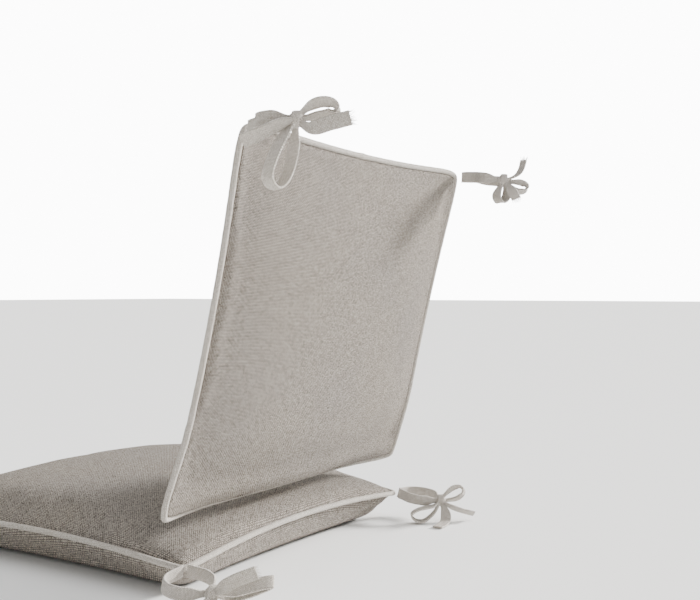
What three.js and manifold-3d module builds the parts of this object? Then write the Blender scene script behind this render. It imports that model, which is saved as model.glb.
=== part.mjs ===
// A tie-on cushion set for a ladder-back chair: a seat cushion, and a back cushion that leans on the
// chair's slats. Both are knife-edge cushions with piping all round, a zip and a loose insert, and each is
// tied round the chair's two rear posts by fabric tapes in bows.
// Millimetres. The origin is the middle of the seat cushion's flat underside. +Z is up, the sitter faces
// -Y, and +X is on the sitter's left.
import * as THREE from "three";
import { mergeVertices } from "three/addons/utils/BufferGeometryUtils.js";
import Module from "manifold-3d";

const wasm = await Module();
wasm.setup();

// The chair that the set is made for. Only its posts matter here: they lean back.
const POST_X = 215;
const POST_FOOT_Y = 240;
const TIE_LEVEL = 25;
const POST_LEAN = THREE.MathUtils.degToRad(13.8);
const POST_RADIUS_LOW = 21.7;
const POST_RADIUS_HIGH = 15.5;

const FABRIC_THICK = 1.2;
const PIPING_RADIUS = 3;
const GAP = 0.4;
const TAPE_WIDTH = 13;
const TAPE_THICK = 2.4;

// Half of the cells along one side of a panel's grid, and how many of them roll under to the seam.
const HALF_GRID = 7;
const ROLL_CELLS = 3;
const CROWN_POWER = 2.2; // higher is fuller towards the seams

// Each outline is a four-sided shape whose sides pull in between the corners.
const SEAT = {
  low: -222, // front edge
  high: 217, // rear edge
  halfLow: 230,
  halfHigh: 197,
  sidePull: 9,
  lowPull: 7,
  highPull: 12,
  cornerCut: 4,
};
const SEAT_CORNER_SEAM = 32;
const SEAT_SEAM_RISE = 10;
const SEAT_CROWN = 82;

// The back cushion's outline, along the lean and across it.
const BACK = {
  low: 40, // bottom edge
  high: 422, // top edge
  halfLow: 211,
  halfHigh: 208,
  sidePull: 10,
  lowPull: -6,
  highPull: 8,
  cornerCut: 6,
};
const BACK_SEAM = -42;
const BACK_FRONT = -90;
const BACK_REAR = -10;
const BACK_KICK = 33; // how far the bottom seam is pushed forward by the seat cushion
const KICK_AT_CORNER = 0.25; // the share of it that is left at the bottom corners
const KICK_FROM = 0.45; // where on the lower half it begins, from the middle (0) to the seam (1)

const FABRIC = { color: 0xb5ada1, roughness: 0.92, metalness: 0 };
const PIPING = { color: 0xc9c2b6, roughness: 0.9, metalness: 0 };
const TICKING = { color: 0xe9e4da, roughness: 0.95, metalness: 0 };
const ZIP_TAPE = { color: 0xb9b1a4, roughness: 0.85, metalness: 0 };
const ZIP_COIL = { color: 0xcfc8bb, roughness: 0.45, metalness: 0 };
const ZIP_METAL = { color: 0xb8b4aa, roughness: 0.35, metalness: 0.9 };

const set = new THREE.Group();

function addMesh(parent, name, geometry, look) {
  const mesh = new THREE.Mesh(geometry, new THREE.MeshStandardMaterial(look));
  mesh.name = name;
  parent.add(mesh);
  return mesh;
}

// ---- joining and cutting ------------------------------------------------------------------------

const SLIVER = 0.02; // triangles thinner than this are tidied away after a cut

function solidOf(geometry) {
  const bare = new THREE.BufferGeometry();
  bare.setAttribute("position", geometry.getAttribute("position"));
  bare.setIndex(geometry.getIndex());
  const merged = mergeVertices(bare, 1e-4);
  return new wasm.Manifold(
    new wasm.Mesh({
      numProp: 3,
      vertProperties: merged.getAttribute("position").array,
      triVerts: new Uint32Array(merged.getIndex().array),
    }),
  );
}

function geometryOf(solid) {
  const mesh = solid.getMesh();
  const geometry = new THREE.BufferGeometry();
  geometry.setAttribute("position", new THREE.BufferAttribute(mesh.vertProperties, 3));
  geometry.setIndex(new THREE.BufferAttribute(mesh.triVerts, 1));
  geometry.computeVertexNormals();
  return geometry;
}

function cutAway(geometry, ...tools) {
  const cut = tools.reduce((solid, tool) => solid.subtract(solidOf(tool)), solidOf(geometry));
  return geometryOf(cut.simplify(SLIVER));
}

// ---- cushion shapes -----------------------------------------------------------------------------

// Grid values from -1 to 1, closer together near the seam.
const GRID = Array.from({ length: 2 * HALF_GRID + 1 }, (_, i) =>
  Math.sin((Math.PI / 2) * (i / HALF_GRID - 1)),
);
const FLAT_TO = GRID[2 * HALF_GRID - ROLL_CELLS];

// Where the point (a, b) of the unit square lies in a cushion's outline, drawn in by inset. The corner's
// cut fades out quickly away from the corner.
function outlinePoint(shape, a, b, inset) {
  const share = (b + 1) / 2;
  const corner = shape.cornerCut * (a * a * b * b) ** 6;
  const half = THREE.MathUtils.lerp(shape.halfLow, shape.halfHigh, share);
  const endPull = b > 0 ? shape.highPull : shape.lowPull;
  const reach = (shape.high - shape.low) / 2 - endPull * (1 - a * a) * Math.abs(b);
  const across = a * (half - shape.sidePull * (1 - b * b) - corner - inset);
  const along = (shape.high + shape.low) / 2 + b * (reach - corner - inset);
  return [across, along];
}

// 0 at the seam, rising steeply and then gently to 1 in the middle.
function crowned(t) {
  return Math.max(0, 1 - Math.abs(t) ** CROWN_POWER) ** (1 / CROWN_POWER);
}

// 0 at the seam, and 1 all over the flat middle.
function rolledUnder(t) {
  const past = Math.max(0, (Math.abs(t) - FLAT_TO) / (1 - FLAT_TO));
  return Math.sqrt(Math.max(0, 1 - past * past));
}

// A closed body between two surfaces over the same grid. They may share their rim.
function bodyBetween(upper, lower) {
  const n = GRID.length;
  const positions = [];
  for (const surface of [upper, lower]) {
    for (const b of GRID) {
      for (const a of GRID) positions.push(...surface(a, b));
    }
  }
  const index = [];
  const at = (layer, i, j) => layer * n * n + j * n + i;
  const quad = (p, q, r, s) => index.push(p, q, r, p, r, s);
  for (let j = 0; j < n - 1; j++) {
    for (let i = 0; i < n - 1; i++) {
      const upperCell = [at(0, i, j), at(0, i + 1, j), at(0, i + 1, j + 1), at(0, i, j + 1)];
      const lowerCell = [at(1, i, j), at(1, i, j + 1), at(1, i + 1, j + 1), at(1, i + 1, j)];
      for (const cell of [upperCell, lowerCell]) {
        // Every cell is split across the way to its own corner of the cushion.
        if (i < HALF_GRID === j < HALF_GRID) cell.push(cell.shift());
        quad(...cell);
      }
    }
  }
  for (let k = 0; k < n - 1; k++) {
    const last = n - 1;
    quad(at(1, k, 0), at(1, k + 1, 0), at(0, k + 1, 0), at(0, k, 0));
    quad(at(1, last, k), at(1, last, k + 1), at(0, last, k + 1), at(0, last, k));
    quad(at(1, k + 1, last), at(1, k, last), at(0, k, last), at(0, k + 1, last));
    quad(at(1, 0, k + 1), at(1, 0, k), at(0, 0, k), at(0, 0, k + 1));
  }
  const geometry = new THREE.BufferGeometry();
  geometry.setAttribute("position", new THREE.Float32BufferAttribute(positions, 3));
  geometry.setIndex(index);
  const merged = mergeVertices(geometry, 1e-4);
  merged.computeVertexNormals();
  return merged;
}

// The seat cushion lies flat: heights are along Z.
function seatPoint(a, b, inset, height) {
  const [x, y] = outlinePoint(SEAT, a, b, inset);
  return [x, y, height];
}

function seatSeam(a, b) {
  return SEAT_CORNER_SEAM + SEAT_SEAM_RISE * (1 - a * a * b * b);
}

function seatTop(a, b, inset, drop) {
  const seam = seatSeam(a, b) + GAP / 2;
  const share = crowned(a) * crowned(b);
  return seatPoint(a, b, inset, seam + (SEAT_CROWN - drop - seam) * share);
}

function seatBottom(a, b, inset, lift, bevel) {
  const seam = seatSeam(a, b) - GAP / 2 - bevel;
  const share = rolledUnder(a) * rolledUnder(b);
  return seatPoint(a, b, inset, seam + (lift - seam) * share);
}

// The back cushion stands along the lean: its thickness is along Y of its own frame, and +Y is its rear.
function backPoint(a, b, inset, depth) {
  const [x, z] = outlinePoint(BACK, a, b, inset);
  return [x, depth, z];
}

function backSeam(a, b) {
  const low = THREE.MathUtils.smoothstep(-b, KICK_FROM, 1);
  return BACK_SEAM - BACK_KICK * low * (1 - (1 - KICK_AT_CORNER) * a ** 4);
}

function backFront(a, b, inset, drop) {
  const seam = backSeam(a, b) - GAP / 2;
  const share = crowned(a) * crowned(b);
  return backPoint(a, b, inset, seam + (BACK_FRONT + drop - seam) * share);
}

function backRear(a, b, inset, drop) {
  const seam = backSeam(a, b) + GAP / 2;
  const share = crowned(a) * crowned(b);
  return backPoint(a, b, inset, seam + (BACK_REAR - drop - seam) * share);
}

// ---- tubes and tapes along a path ---------------------------------------------------------------

// A path through given points, which carries its own frames: the section's x runs along `wide`.
class SweepPath extends THREE.Curve {
  constructor(points, wide, widths) {
    super();
    this.points = points;
    this.wide = wide;
    this.widths = widths ?? points.map(() => 1);
  }

  getSpacedPoints() {
    return this.points;
  }

  computeFrenetFrames() {
    const tangents = this.points.map((_, i, all) => {
      const before = all[Math.max(i - 1, 0)];
      const after = all[Math.min(i + 1, all.length - 1)];
      return after.clone().sub(before).normalize();
    });
    const sides = tangents.map((t) =>
      this.wide.clone().addScaledVector(t, -this.wide.dot(t)).normalize(),
    );
    const binormals = tangents.map((t, i) => t.clone().cross(sides[i]));
    const normals = sides.map((s, i) => s.multiplyScalar(this.widths[i]));
    return { tangents, normals, binormals };
  }
}

function sweep(section, path) {
  const geometry = new THREE.ExtrudeGeometry(section, {
    steps: path.points.length - 1,
    extrudePath: path,
    curveSegments: 1,
  });
  geometry.deleteAttribute("normal");
  geometry.deleteAttribute("uv");
  const merged = mergeVertices(geometry, 1e-4);
  merged.computeVertexNormals();
  return merged;
}

function roundSection(radius, sides) {
  const corners = Array.from({ length: sides }, (_, i) => {
    const turn = (2 * Math.PI * i) / sides;
    return new THREE.Vector2(radius * Math.cos(turn), radius * Math.sin(turn));
  });
  return new THREE.Shape(corners);
}

// A folded tape's section: a flat bar with its edges taken off.
function tapeSection() {
  const w = TAPE_WIDTH / 2;
  const t = TAPE_THICK / 2;
  const c = TAPE_THICK / 3;
  const corners = [
    [w, c - t],
    [w, t - c],
    [w - c, t],
    [c - w, t],
    [-w, t - c],
    [-w, c - t],
    [c - w, -t],
    [w - c, -t],
  ];
  return new THREE.Shape(corners.map(([x, y]) => new THREE.Vector2(x, y)));
}

// Piping round a seam: an open tube whose two ends meet at the middle of the high edge.
function pipingGeometry(shape, place, normalAxis) {
  const last = GRID.length - 1;
  const rim = [];
  const middle = HALF_GRID;
  for (let i = middle; i < last; i++) rim.push([GRID[i], 1]);
  for (let j = last; j > 0; j--) rim.push([1, GRID[j]]);
  for (let i = last; i > 0; i--) rim.push([GRID[i], -1]);
  for (let j = 0; j < last; j++) rim.push([-1, GRID[j]]);
  for (let i = 0; i <= middle; i++) rim.push([GRID[i], 1]);
  const points = rim.map(([a, b]) => new THREE.Vector3(...place(a, b)));
  const offset = PIPING_RADIUS + GAP;
  const count = points.length;
  const moved = points.map((p, i) => {
    const before = points[i === 0 ? count - 2 : i - 1];
    const after = points[i === count - 1 ? 1 : i + 1];
    const into = p.clone().sub(before).normalize();
    const out = after.clone().sub(p).normalize();
    const outward = normalAxis.clone().cross(into.clone().add(out)).normalize();
    const mitre = Math.sqrt((1 + into.dot(out)) / 2);
    return p.clone().addScaledVector(outward, offset / mitre);
  });
  moved[0].x += GAP / 2;
  moved[count - 1].x -= GAP / 2;
  return sweep(roundSection(PIPING_RADIUS, 8), new SweepPath(moved, normalAxis));
}

// ---- zips ---------------------------------------------------------------------------------------

// In a zip's own frame X runs along it, Y across it and +Z points out of the cushion. Z is 0 at the
// fabric's outer face, and everything lies below it in a slot, so nothing rubs on what is outside.
const SLOT_HALF = 5; // the opening in the fabric
const SLOT_DEPTH = 3.9;
const GROOVE_HALF = 10.5; // the hollow in the insert
const GROOVE_DEPTH = 7.5;
const CLEAR_OUT = 6; // how far a cutting tool stands out of the fabric
const TAPE = { inner: 2.8, hem: 5.6, outer: 9.5, top: -4.1, under: -4.7, hemTop: -1.7 };
const COIL = { inner: 0.7, outer: 2.5, top: -3.9, under: -5.1 };
const STOP = { long: 3, half: 2.4 };
const ZIP_END = 13; // slot left at each end of the coils, for the stops and the tab
const TAPE_END = 4; // slot left past each end of the tapes
const SLIDER_LONG = 11;
const UPPER_PLATE = { half: 4, top: -2.8, under: -3.6 };
const LOWER_PLATE = { half: 3.6, top: -5.4, under: -6.2 };
const BRIDGE_HALF = 0.4;
const ARCH = { outer: 2.4, inner: 1.6, wide: 1.2 };
const TAB = { long: 20, half: 3.2, thick: 1, lift: 0.25, bar: 1, eyeHalf: 1.9, eyeLong: 4.5 };
const FUSE = 0.01; // bodies that are joined share this much

function box(x0, x1, y0, y1, z0, z1) {
  const geometry = new THREE.BoxGeometry(x1 - x0, y1 - y0, z1 - z0);
  geometry.translate((x0 + x1) / 2, (y0 + y1) / 2, (z0 + z1) / 2);
  return geometry;
}

function alongX(corners, x0, x1) {
  const section = new THREE.Shape(corners.map(([y, z]) => new THREE.Vector2(y, z)));
  const geometry = new THREE.ExtrudeGeometry(section, {
    depth: x1 - x0,
    bevelEnabled: false,
  });
  geometry.rotateX(Math.PI / 2);
  geometry.rotateZ(Math.PI / 2);
  geometry.translate(x0, 0, 0);
  return geometry;
}

function slotTool(half) {
  return box(-half, half, -SLOT_HALF, SLOT_HALF, -SLOT_DEPTH, CLEAR_OUT);
}

function grooveTool(half) {
  const end = half + 2;
  return box(-end, end, -GROOVE_HALF, GROOVE_HALF, -GROOVE_DEPTH, CLEAR_OUT);
}

// A slider: two plates joined by a thin bridge that runs between the coils, with an arch for the tab.
function sliderGeometry(front) {
  const upper = UPPER_PLATE;
  const lower = LOWER_PLATE;
  const plates = alongX(
    [
      [-upper.half, upper.top],
      [-upper.half, upper.under],
      [-BRIDGE_HALF, upper.under],
      [-BRIDGE_HALF, lower.top],
      [-lower.half, lower.top],
      [-lower.half, lower.under],
      [lower.half, lower.under],
      [lower.half, lower.top],
      [BRIDGE_HALF, lower.top],
      [BRIDGE_HALF, upper.under],
      [upper.half, upper.under],
      [upper.half, upper.top],
    ],
    front - SLIDER_LONG,
    front,
  );
  const arch = new THREE.Shape();
  arch.absarc(0, 0, ARCH.outer, 0, Math.PI, false);
  arch.absarc(0, 0, ARCH.inner, Math.PI, 0, true);
  const archGeometry = new THREE.ExtrudeGeometry(arch, {
    depth: ARCH.wide,
    bevelEnabled: false,
    curveSegments: 8,
  });
  archGeometry.rotateX(Math.PI / 2);
  archGeometry.translate(front - SLIDER_LONG / 2, ARCH.wide / 2, upper.top - FUSE);
  return geometryOf(solidOf(plates).add(solidOf(archGeometry)));
}

// The pull tab: a plate with an eye, whose end bar is held under the arch.
function pullGeometry(front) {
  const outline = new THREE.Shape();
  outline.moveTo(TAB.bar / 2, -TAB.half);
  outline.lineTo(TAB.bar / 2, TAB.half);
  outline.lineTo(-TAB.long, TAB.half);
  outline.absarc(-TAB.long, 0, TAB.half, Math.PI / 2, (3 * Math.PI) / 2, false);
  outline.closePath();
  const eye = new THREE.Path();
  eye.moveTo(-TAB.bar / 2, -TAB.eyeHalf);
  eye.lineTo(-TAB.bar / 2, TAB.eyeHalf);
  eye.lineTo(-TAB.bar / 2 - TAB.eyeLong, TAB.eyeHalf);
  eye.lineTo(-TAB.bar / 2 - TAB.eyeLong, -TAB.eyeHalf);
  eye.closePath();
  outline.holes.push(eye);
  const geometry = new THREE.ExtrudeGeometry(outline, {
    depth: TAB.thick,
    bevelEnabled: false,
    curveSegments: 8,
  });
  geometry.translate(front - SLIDER_LONG / 2, 0, UPPER_PLATE.top + TAB.lift);
  return geometry;
}

function addZip(parent, prefix, half) {
  const coilHalf = half - ZIP_END;
  const tapeHalf = half - TAPE_END;
  for (const [side, sign] of [
    ["a", 1],
    ["b", -1],
  ]) {
    const tape = [
      [TAPE.inner, TAPE.top],
      [TAPE.inner, TAPE.under],
      [TAPE.outer, TAPE.under],
      [TAPE.outer, TAPE.hemTop],
      [TAPE.hem, TAPE.hemTop],
      [TAPE.hem, TAPE.top],
    ];
    const section = tape.map(([y, z]) => [sign * y, z]);
    if (sign < 0) section.reverse();
    addMesh(parent, `${prefix}_zip_tape_${side}`, alongX(section, -tapeHalf, tapeHalf), ZIP_TAPE);
    const edges = [sign * COIL.inner, sign * COIL.outer].sort((p, q) => p - q);
    const coil = box(-coilHalf, coilHalf, edges[0], edges[1], COIL.under, COIL.top);
    addMesh(parent, `${prefix}_zip_coil_${side}`, coil, ZIP_COIL);
  }
  for (const [name, x] of [
    ["closed", coilHalf + GAP],
    ["open", -coilHalf - GAP - STOP.long],
  ]) {
    const stop = box(x, x + STOP.long, -STOP.half, STOP.half, COIL.under, COIL.top);
    addMesh(parent, `${prefix}_zip_stop_${name}`, stop, ZIP_METAL);
  }
  addMesh(parent, `${prefix}_zip_slider`, sliderGeometry(coilHalf - 1), ZIP_METAL);
  addMesh(parent, `${prefix}_zip_pull`, pullGeometry(coilHalf - 1), ZIP_METAL);
}

function placed(geometry, group) {
  group.updateMatrix();
  return geometry.clone().applyMatrix4(group.matrix);
}

// ---- the two cushions ---------------------------------------------------------------------------

const INSERT_DROP = 2.8; // from a cover's outer face to the insert, in the middle
const INSERT_INSET = 5; // and all round, from the seam
const INNER_INSET = 1.7; // a cover's inner face is drawn in by this at the seam
const RIM_BEVEL = 0.6; // the bottom panel's rim slopes down by this to its outer edge
const SEAT_REACH = 300; // further than the seat cushion goes, any way
const SEAT_ZIP = { behind: 112, half: 152 };
const BACK_ZIP = { behind: -59.2, along: 43.2, half: 99, tilt: THREE.MathUtils.degToRad(28) };

function addSeatCushion() {
  const zip = new THREE.Group();
  zip.position.set(0, SEAT_ZIP.behind, 0);
  zip.rotation.x = Math.PI; // out of the cushion is down
  const top = bodyBetween(
    (a, b) => seatTop(a, b, 0, 0),
    (a, b) => seatTop(a, b, INNER_INSET, FABRIC_THICK),
  );
  const bottom = bodyBetween(
    (a, b) => seatBottom(a, b, INNER_INSET, FABRIC_THICK, 0),
    (a, b) => seatBottom(a, b, 0, 0, RIM_BEVEL),
  );
  const insert = bodyBetween(
    (a, b) => seatTop(a, b, INSERT_INSET, INSERT_DROP),
    (a, b) => seatBottom(a, b, INSERT_INSET, INSERT_DROP, 0),
  );
  addMesh(set, "seat_top_panel", top, FABRIC);
  // The bottom is cut in two across the zip, and beyond its ends the two pieces meet in a plain seam.
  const slot = placed(slotTool(SEAT_ZIP.half), zip);
  const seam = SEAT_ZIP.behind;
  const behind = box(-SEAT_REACH, SEAT_REACH, seam - GAP / 2, SEAT_REACH, -SEAT_REACH, SEAT_REACH);
  const before = box(-SEAT_REACH, SEAT_REACH, -SEAT_REACH, seam + GAP / 2, -SEAT_REACH, SEAT_REACH);
  addMesh(set, "seat_bottom_front_panel", cutAway(bottom, slot, behind), FABRIC);
  addMesh(set, "seat_bottom_rear_panel", cutAway(bottom, slot, before), FABRIC);
  const grooved = cutAway(insert, placed(grooveTool(SEAT_ZIP.half), zip));
  addMesh(set, "seat_insert", grooved, TICKING);
  const seamLine = (a, b) => seatPoint(a, b, 0, seatSeam(a, b));
  const up = new THREE.Vector3(0, 0, 1);
  addMesh(set, "seat_piping", pipingGeometry(SEAT, seamLine, up), PIPING);
  addZip(zip, "seat", SEAT_ZIP.half);
  set.add(zip);
}

function addBackCushion() {
  const lean = new THREE.Group();
  lean.position.set(0, POST_FOOT_Y, TIE_LEVEL);
  lean.rotation.x = -POST_LEAN;
  const zip = new THREE.Group();
  zip.position.set(0, BACK_ZIP.behind, BACK_ZIP.along);
  zip.rotation.x = Math.PI + BACK_ZIP.tilt;
  const rear = bodyBetween(
    (a, b) => backRear(a, b, INNER_INSET, FABRIC_THICK),
    (a, b) => backRear(a, b, 0, 0),
  );
  const front = bodyBetween(
    (a, b) => backFront(a, b, 0, 0),
    (a, b) => backFront(a, b, INNER_INSET, FABRIC_THICK),
  );
  const insert = bodyBetween(
    (a, b) => backFront(a, b, INSERT_INSET, INSERT_DROP),
    (a, b) => backRear(a, b, INSERT_INSET, INSERT_DROP),
  );
  addMesh(lean, "back_front_panel", front, FABRIC);
  const slotted = cutAway(rear, placed(slotTool(BACK_ZIP.half), zip));
  addMesh(lean, "back_rear_panel", slotted, FABRIC);
  const grooved = cutAway(insert, placed(grooveTool(BACK_ZIP.half), zip));
  addMesh(lean, "back_insert", grooved, TICKING);
  const seamLine = (a, b) => backPoint(a, b, 0, backSeam(a, b));
  const forward = new THREE.Vector3(0, -1, 0);
  addMesh(lean, "back_piping", pipingGeometry(BACK, seamLine, forward), PIPING);
  addZip(zip, "back", BACK_ZIP.half);
  lean.add(zip);
  set.add(lean);
}

// ---- ties ---------------------------------------------------------------------------------------

// A point given across the chair, behind the posts' axis plane, and along the posts.
function onLean(x, behind, along) {
  const cos = Math.cos(POST_LEAN);
  const sin = Math.sin(POST_LEAN);
  return new THREE.Vector3(
    x,
    POST_FOOT_Y + along * sin + behind * cos,
    TIE_LEVEL + along * cos - behind * sin,
  );
}

const POST_UP = new THREE.Vector3(0, Math.sin(POST_LEAN), Math.cos(POST_LEAN));

// Every bow is turned the same way about Z. In its own frame a point is [to its right, away from who
// looks at it, up], measured from its knot.
const BOW_TURN = THREE.MathUtils.degToRad(123.6);
const KNOT = { right: 8.5, away: 6.5, up: 7.5 };
const KNOT_CLEARANCE = 1.07; // a tape stops at this many times the knot's size

// Where each leg is sewn, from the point where the bow leaves the cushion: outwards and backwards.
const STITCHED = { inner: [-1.7, 2], outer: [1.9, -1] };
const RING_GAP = 0.5; // between a tape and its post
const RING_STEP = 0.5; // radians
const MEETS_POST = 0.35; // radians past the stitches
// Where each leg turns off its post towards the knot, measured about the post from +X.
const PLUS_TURNS_OFF = THREE.MathUtils.degToRad(45);
const MINUS_TURNS_OFF = THREE.MathUtils.degToRad(-215);

const TAPE_STEP = 9;
const GATHERED = 0.45; // a tape's width at the knot, as a share of its full width
const GATHER_LONG = 14;
const FINE_SAMPLES = 300;

// For each bow: the knot's centre, the post that it is tied round, where its tape leaves the cushion,
// and the loop and tail of the leg that passes each side of the post. `wide` is the way that the
// tape's width runs there, in the bow's frame.
const BOWS = [
  {
    name: "top_left",
    side: 1,
    knot: [213, 362, 440],
    post: onLean(POST_X, 0, 429),
    postRadius: POST_RADIUS_HIGH,
    leaves: onLean(206, -34, 419),
    plus: {
      loop: [
        [-10, -9, -16],
        [-19, -11, -35],
        [-23, -8, -51],
        [-17, 0, -58],
        [-9, 7, -49],
        [-4, 8, -31],
        [-1, 6, -14],
      ],
      loopWide: [0.75, -0.65, 0],
      tail: [
        [13, -5, -8],
        [31, -4, -3],
        [46, -3, 1],
      ],
      tailWide: [0, 0, 1],
    },
    minus: {
      loop: [
        [9, -1, 9],
        [20, -3, 14],
        [31, -2, 13],
        [34, 1, 8],
        [26, 5, 5],
        [13, 5, 3],
      ],
      loopWide: [0, -0.85, 0.5],
      tail: [
        [-8, -10, -4],
        [-24, -14, -12],
        [-44, -12, -20],
      ],
      tailWide: [0.2, -0.6, 0.75],
    },
  },
  {
    name: "top_right",
    side: -1,
    knot: [-209, 362, 433],
    post: onLean(-POST_X, 0, 424),
    postRadius: POST_RADIUS_HIGH,
    leaves: onLean(-206, -34, 419),
    plus: {
      loop: [
        [-5, -4, -10],
        [-9, -5, -20],
        [-4, -2, -28],
        [4, 3, -22],
        [4, 3, -10],
      ],
      loopWide: [0.7, -0.7, 0],
      tail: [
        [9, -3, 2],
        [17, -3, 6],
        [22, -3, 13],
        [25, -3, 24],
      ],
      tailWide: [0.4, -0.9, 0],
    },
    minus: {
      loop: [
        [10, 1, -2],
        [22, 1, -3],
        [30, 2, -8],
        [27, 4, -13],
        [18, 5, -13],
        [9, 4, -7],
      ],
      loopWide: [0, -0.9, 0.4],
      tail: [
        [6, -7, -9],
        [11, -9, -17],
        [15, -8, -24],
      ],
      tailWide: [0.8, -0.5, 0],
    },
  },
  {
    name: "seat_left",
    side: 1,
    knot: [216, 270, 25],
    post: new THREE.Vector3(POST_X, POST_FOOT_Y, TIE_LEVEL),
    postRadius: POST_RADIUS_LOW,
    leaves: new THREE.Vector3(198.5, 219.5, 32),
    plus: {
      loop: [
        [-8, -8, -7],
        [-20, -15, -12],
        [-33, -19, -16],
        [-40, -20, -20],
        [-33, -20, -23],
        [-20, -19, -22],
        [-8, -11, -14],
      ],
      loopWide: [0, -1, 0],
      tail: [
        [8, -9, 6],
        [22, -12, 15],
        [41, -11, 22],
      ],
      tailWide: [0, -0.2, 1],
    },
    minus: {
      loop: [
        [12, 0, 1],
        [27, -1, 4],
        [45, 0, 9],
        [56, 2, 10],
        [45, 5, 4],
        [27, 5, -2],
        [12, 3, -4],
      ],
      loopWide: [0, -0.75, -0.66],
      tail: [
        [4, -8, -8],
        [6, -14, -16],
        [5, -22, -22],
        [0, -36, -23.3],
        [-7, -48, -23.3],
      ],
      tailWide: [1, 0, 0],
    },
  },
  {
    name: "seat_right",
    side: -1,
    knot: [-219, 270, 25],
    post: new THREE.Vector3(-POST_X, POST_FOOT_Y, TIE_LEVEL),
    postRadius: POST_RADIUS_LOW,
    leaves: new THREE.Vector3(-198.5, 219.5, 32),
    plus: {
      loop: [
        [-8, -8, -5],
        [-18, -15, -6],
        [-30, -19, -8],
        [-39, -20, -14],
        [-34, -20, -21],
        [-24, -19, -22.8],
        [-13, -13, -17],
        [-6, -8, -10],
      ],
      loopWide: [0, -1, 0],
      tail: [
        [11, -6, -6],
        [24, -7, -11],
        [43, -7, -16],
      ],
      tailWide: [0.2, -0.8, 0.5],
    },
    minus: {
      loop: [
        [8, -1, 9],
        [18, -2, 17],
        [27, -1, 17],
        [30, 1, 10],
        [24, 4, 2],
        [12, 5, -1],
      ],
      loopWide: [-0.3, -0.8, 0.5],
      tail: [
        [4, -8, -8],
        [6, -13, -15],
        [5, -20, -21],
        [0, -33, -23.3],
        [-8, -46, -23.3],
      ],
      tailWide: [1, 0, 0],
    },
  },
];

// The leg's way round its post, from the cushion's corner to the knot, in the set's frame.
function ringRoute(bow, passesPlusX, knotCentre) {
  const inner = passesPlusX !== bow.side > 0;
  const [outwards, backwards] = inner ? STITCHED.inner : STITCHED.outer;
  const start = bow.leaves.clone();
  start.x += bow.side * outwards;
  start.y += backwards;
  const radius = bow.postRadius + TAPE_THICK / 2 + RING_GAP;
  const from = Math.atan2(start.y - bow.post.y, start.x - bow.post.x);
  const begins = passesPlusX ? from + MEETS_POST : from - MEETS_POST;
  const ends = passesPlusX ? PLUS_TURNS_OFF : MINUS_TURNS_OFF;
  const route = [start];
  const stops = Math.max(3, Math.round(Math.abs(ends - begins) / RING_STEP));
  for (let i = 0; i <= stops; i++) {
    const turn = THREE.MathUtils.lerp(begins, ends, i / stops);
    const level = THREE.MathUtils.lerp(start.z, knotCentre.z, (i + 1) / (stops + 2));
    const up = (level - bow.post.z) / Math.cos(POST_LEAN);
    const centre = bow.post.clone().addScaledVector(POST_UP, up);
    const x = centre.x + radius * Math.cos(turn);
    const y = centre.y + radius * Math.sin(turn);
    route.push(new THREE.Vector3(x, y, level));
  }
  return route;
}

// The samples of a curve that lie outside the knot, as one run.
function outsideKnot(points, toBow) {
  const curve = new THREE.CatmullRomCurve3(points, false, "centripetal");
  return curve.getSpacedPoints(FINE_SAMPLES).filter((p) => {
    const q = p.clone().applyMatrix4(toBow);
    return Math.hypot(q.x / KNOT.right, q.y / KNOT.away, q.z / KNOT.up) > KNOT_CLEARANCE;
  });
}

// One stretch of tape. It is gathered where it goes into the knot.
function tapeGeometry(points, wide, knotCentre) {
  let long = 0;
  for (let i = 1; i < points.length; i++) long += points[i].distanceTo(points[i - 1]);
  const steps = Math.max(4, Math.round(long / TAPE_STEP));
  const kept = Array.from(
    { length: steps + 1 },
    (_, i) => points[Math.round((i * (points.length - 1)) / steps)],
  );
  const widths = kept.map((p) => {
    const near = p.distanceTo(knotCentre) - KNOT.right;
    const share = THREE.MathUtils.smoothstep(near, 0, GATHER_LONG);
    return THREE.MathUtils.lerp(GATHERED, 1, share);
  });
  return sweep(tapeSection(), new SweepPath(kept, wide, widths));
}

function addBow(bow) {
  const frame = new THREE.Group();
  frame.position.set(...bow.knot);
  frame.rotation.z = BOW_TURN;
  frame.updateMatrix();
  const toBow = frame.matrix.clone().invert();
  const knotCentre = frame.position;
  const knot = new THREE.SphereGeometry(1, 10, 8);
  knot.scale(KNOT.right, KNOT.up, KNOT.away);
  knot.rotateX(Math.PI / 2);
  addMesh(frame, `tie_${bow.name}_knot`, knot, PIPING);
  set.add(frame);
  for (const passesPlusX of [true, false]) {
    const leg = passesPlusX ? bow.plus : bow.minus;
    const side = passesPlusX === bow.side > 0 ? "outer" : "inner";
    const name = `tie_${bow.name}_${side}`;
    const local = (p) => new THREE.Vector3(...p).applyMatrix4(frame.matrix);
    const turned = (d) => new THREE.Vector3(...d).transformDirection(frame.matrix);
    const ring = outsideKnot([...ringRoute(bow, passesPlusX, knotCentre), knotCentre], toBow);
    const loop = outsideKnot([knotCentre, ...leg.loop.map(local), knotCentre], toBow);
    const tail = outsideKnot([knotCentre, ...leg.tail.map(local)], toBow);
    addMesh(set, `${name}_ring`, tapeGeometry(ring, POST_UP, knotCentre), PIPING);
    addMesh(set, `${name}_loop`, tapeGeometry(loop, turned(leg.loopWide), knotCentre), PIPING);
    addMesh(set, `${name}_tail`, tapeGeometry(tail, turned(leg.tailWide), knotCentre), PIPING);
  }
}

addSeatCushion();
addBackCushion();
BOWS.forEach(addBow);

export default set;
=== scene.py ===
"""Looks of a tie-on cushion set for a ladder-back chair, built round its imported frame.

The seat cushion and the back cushion are cloth-simulated, their piping and zips are modelled on the
result, and the four hand-tied bows are flat folded tapes that follow the frame's own routes. Metres, in
the frame's axes: +Z is up, the sitter faces -Y and +X is on the sitter's left.
"""

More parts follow.
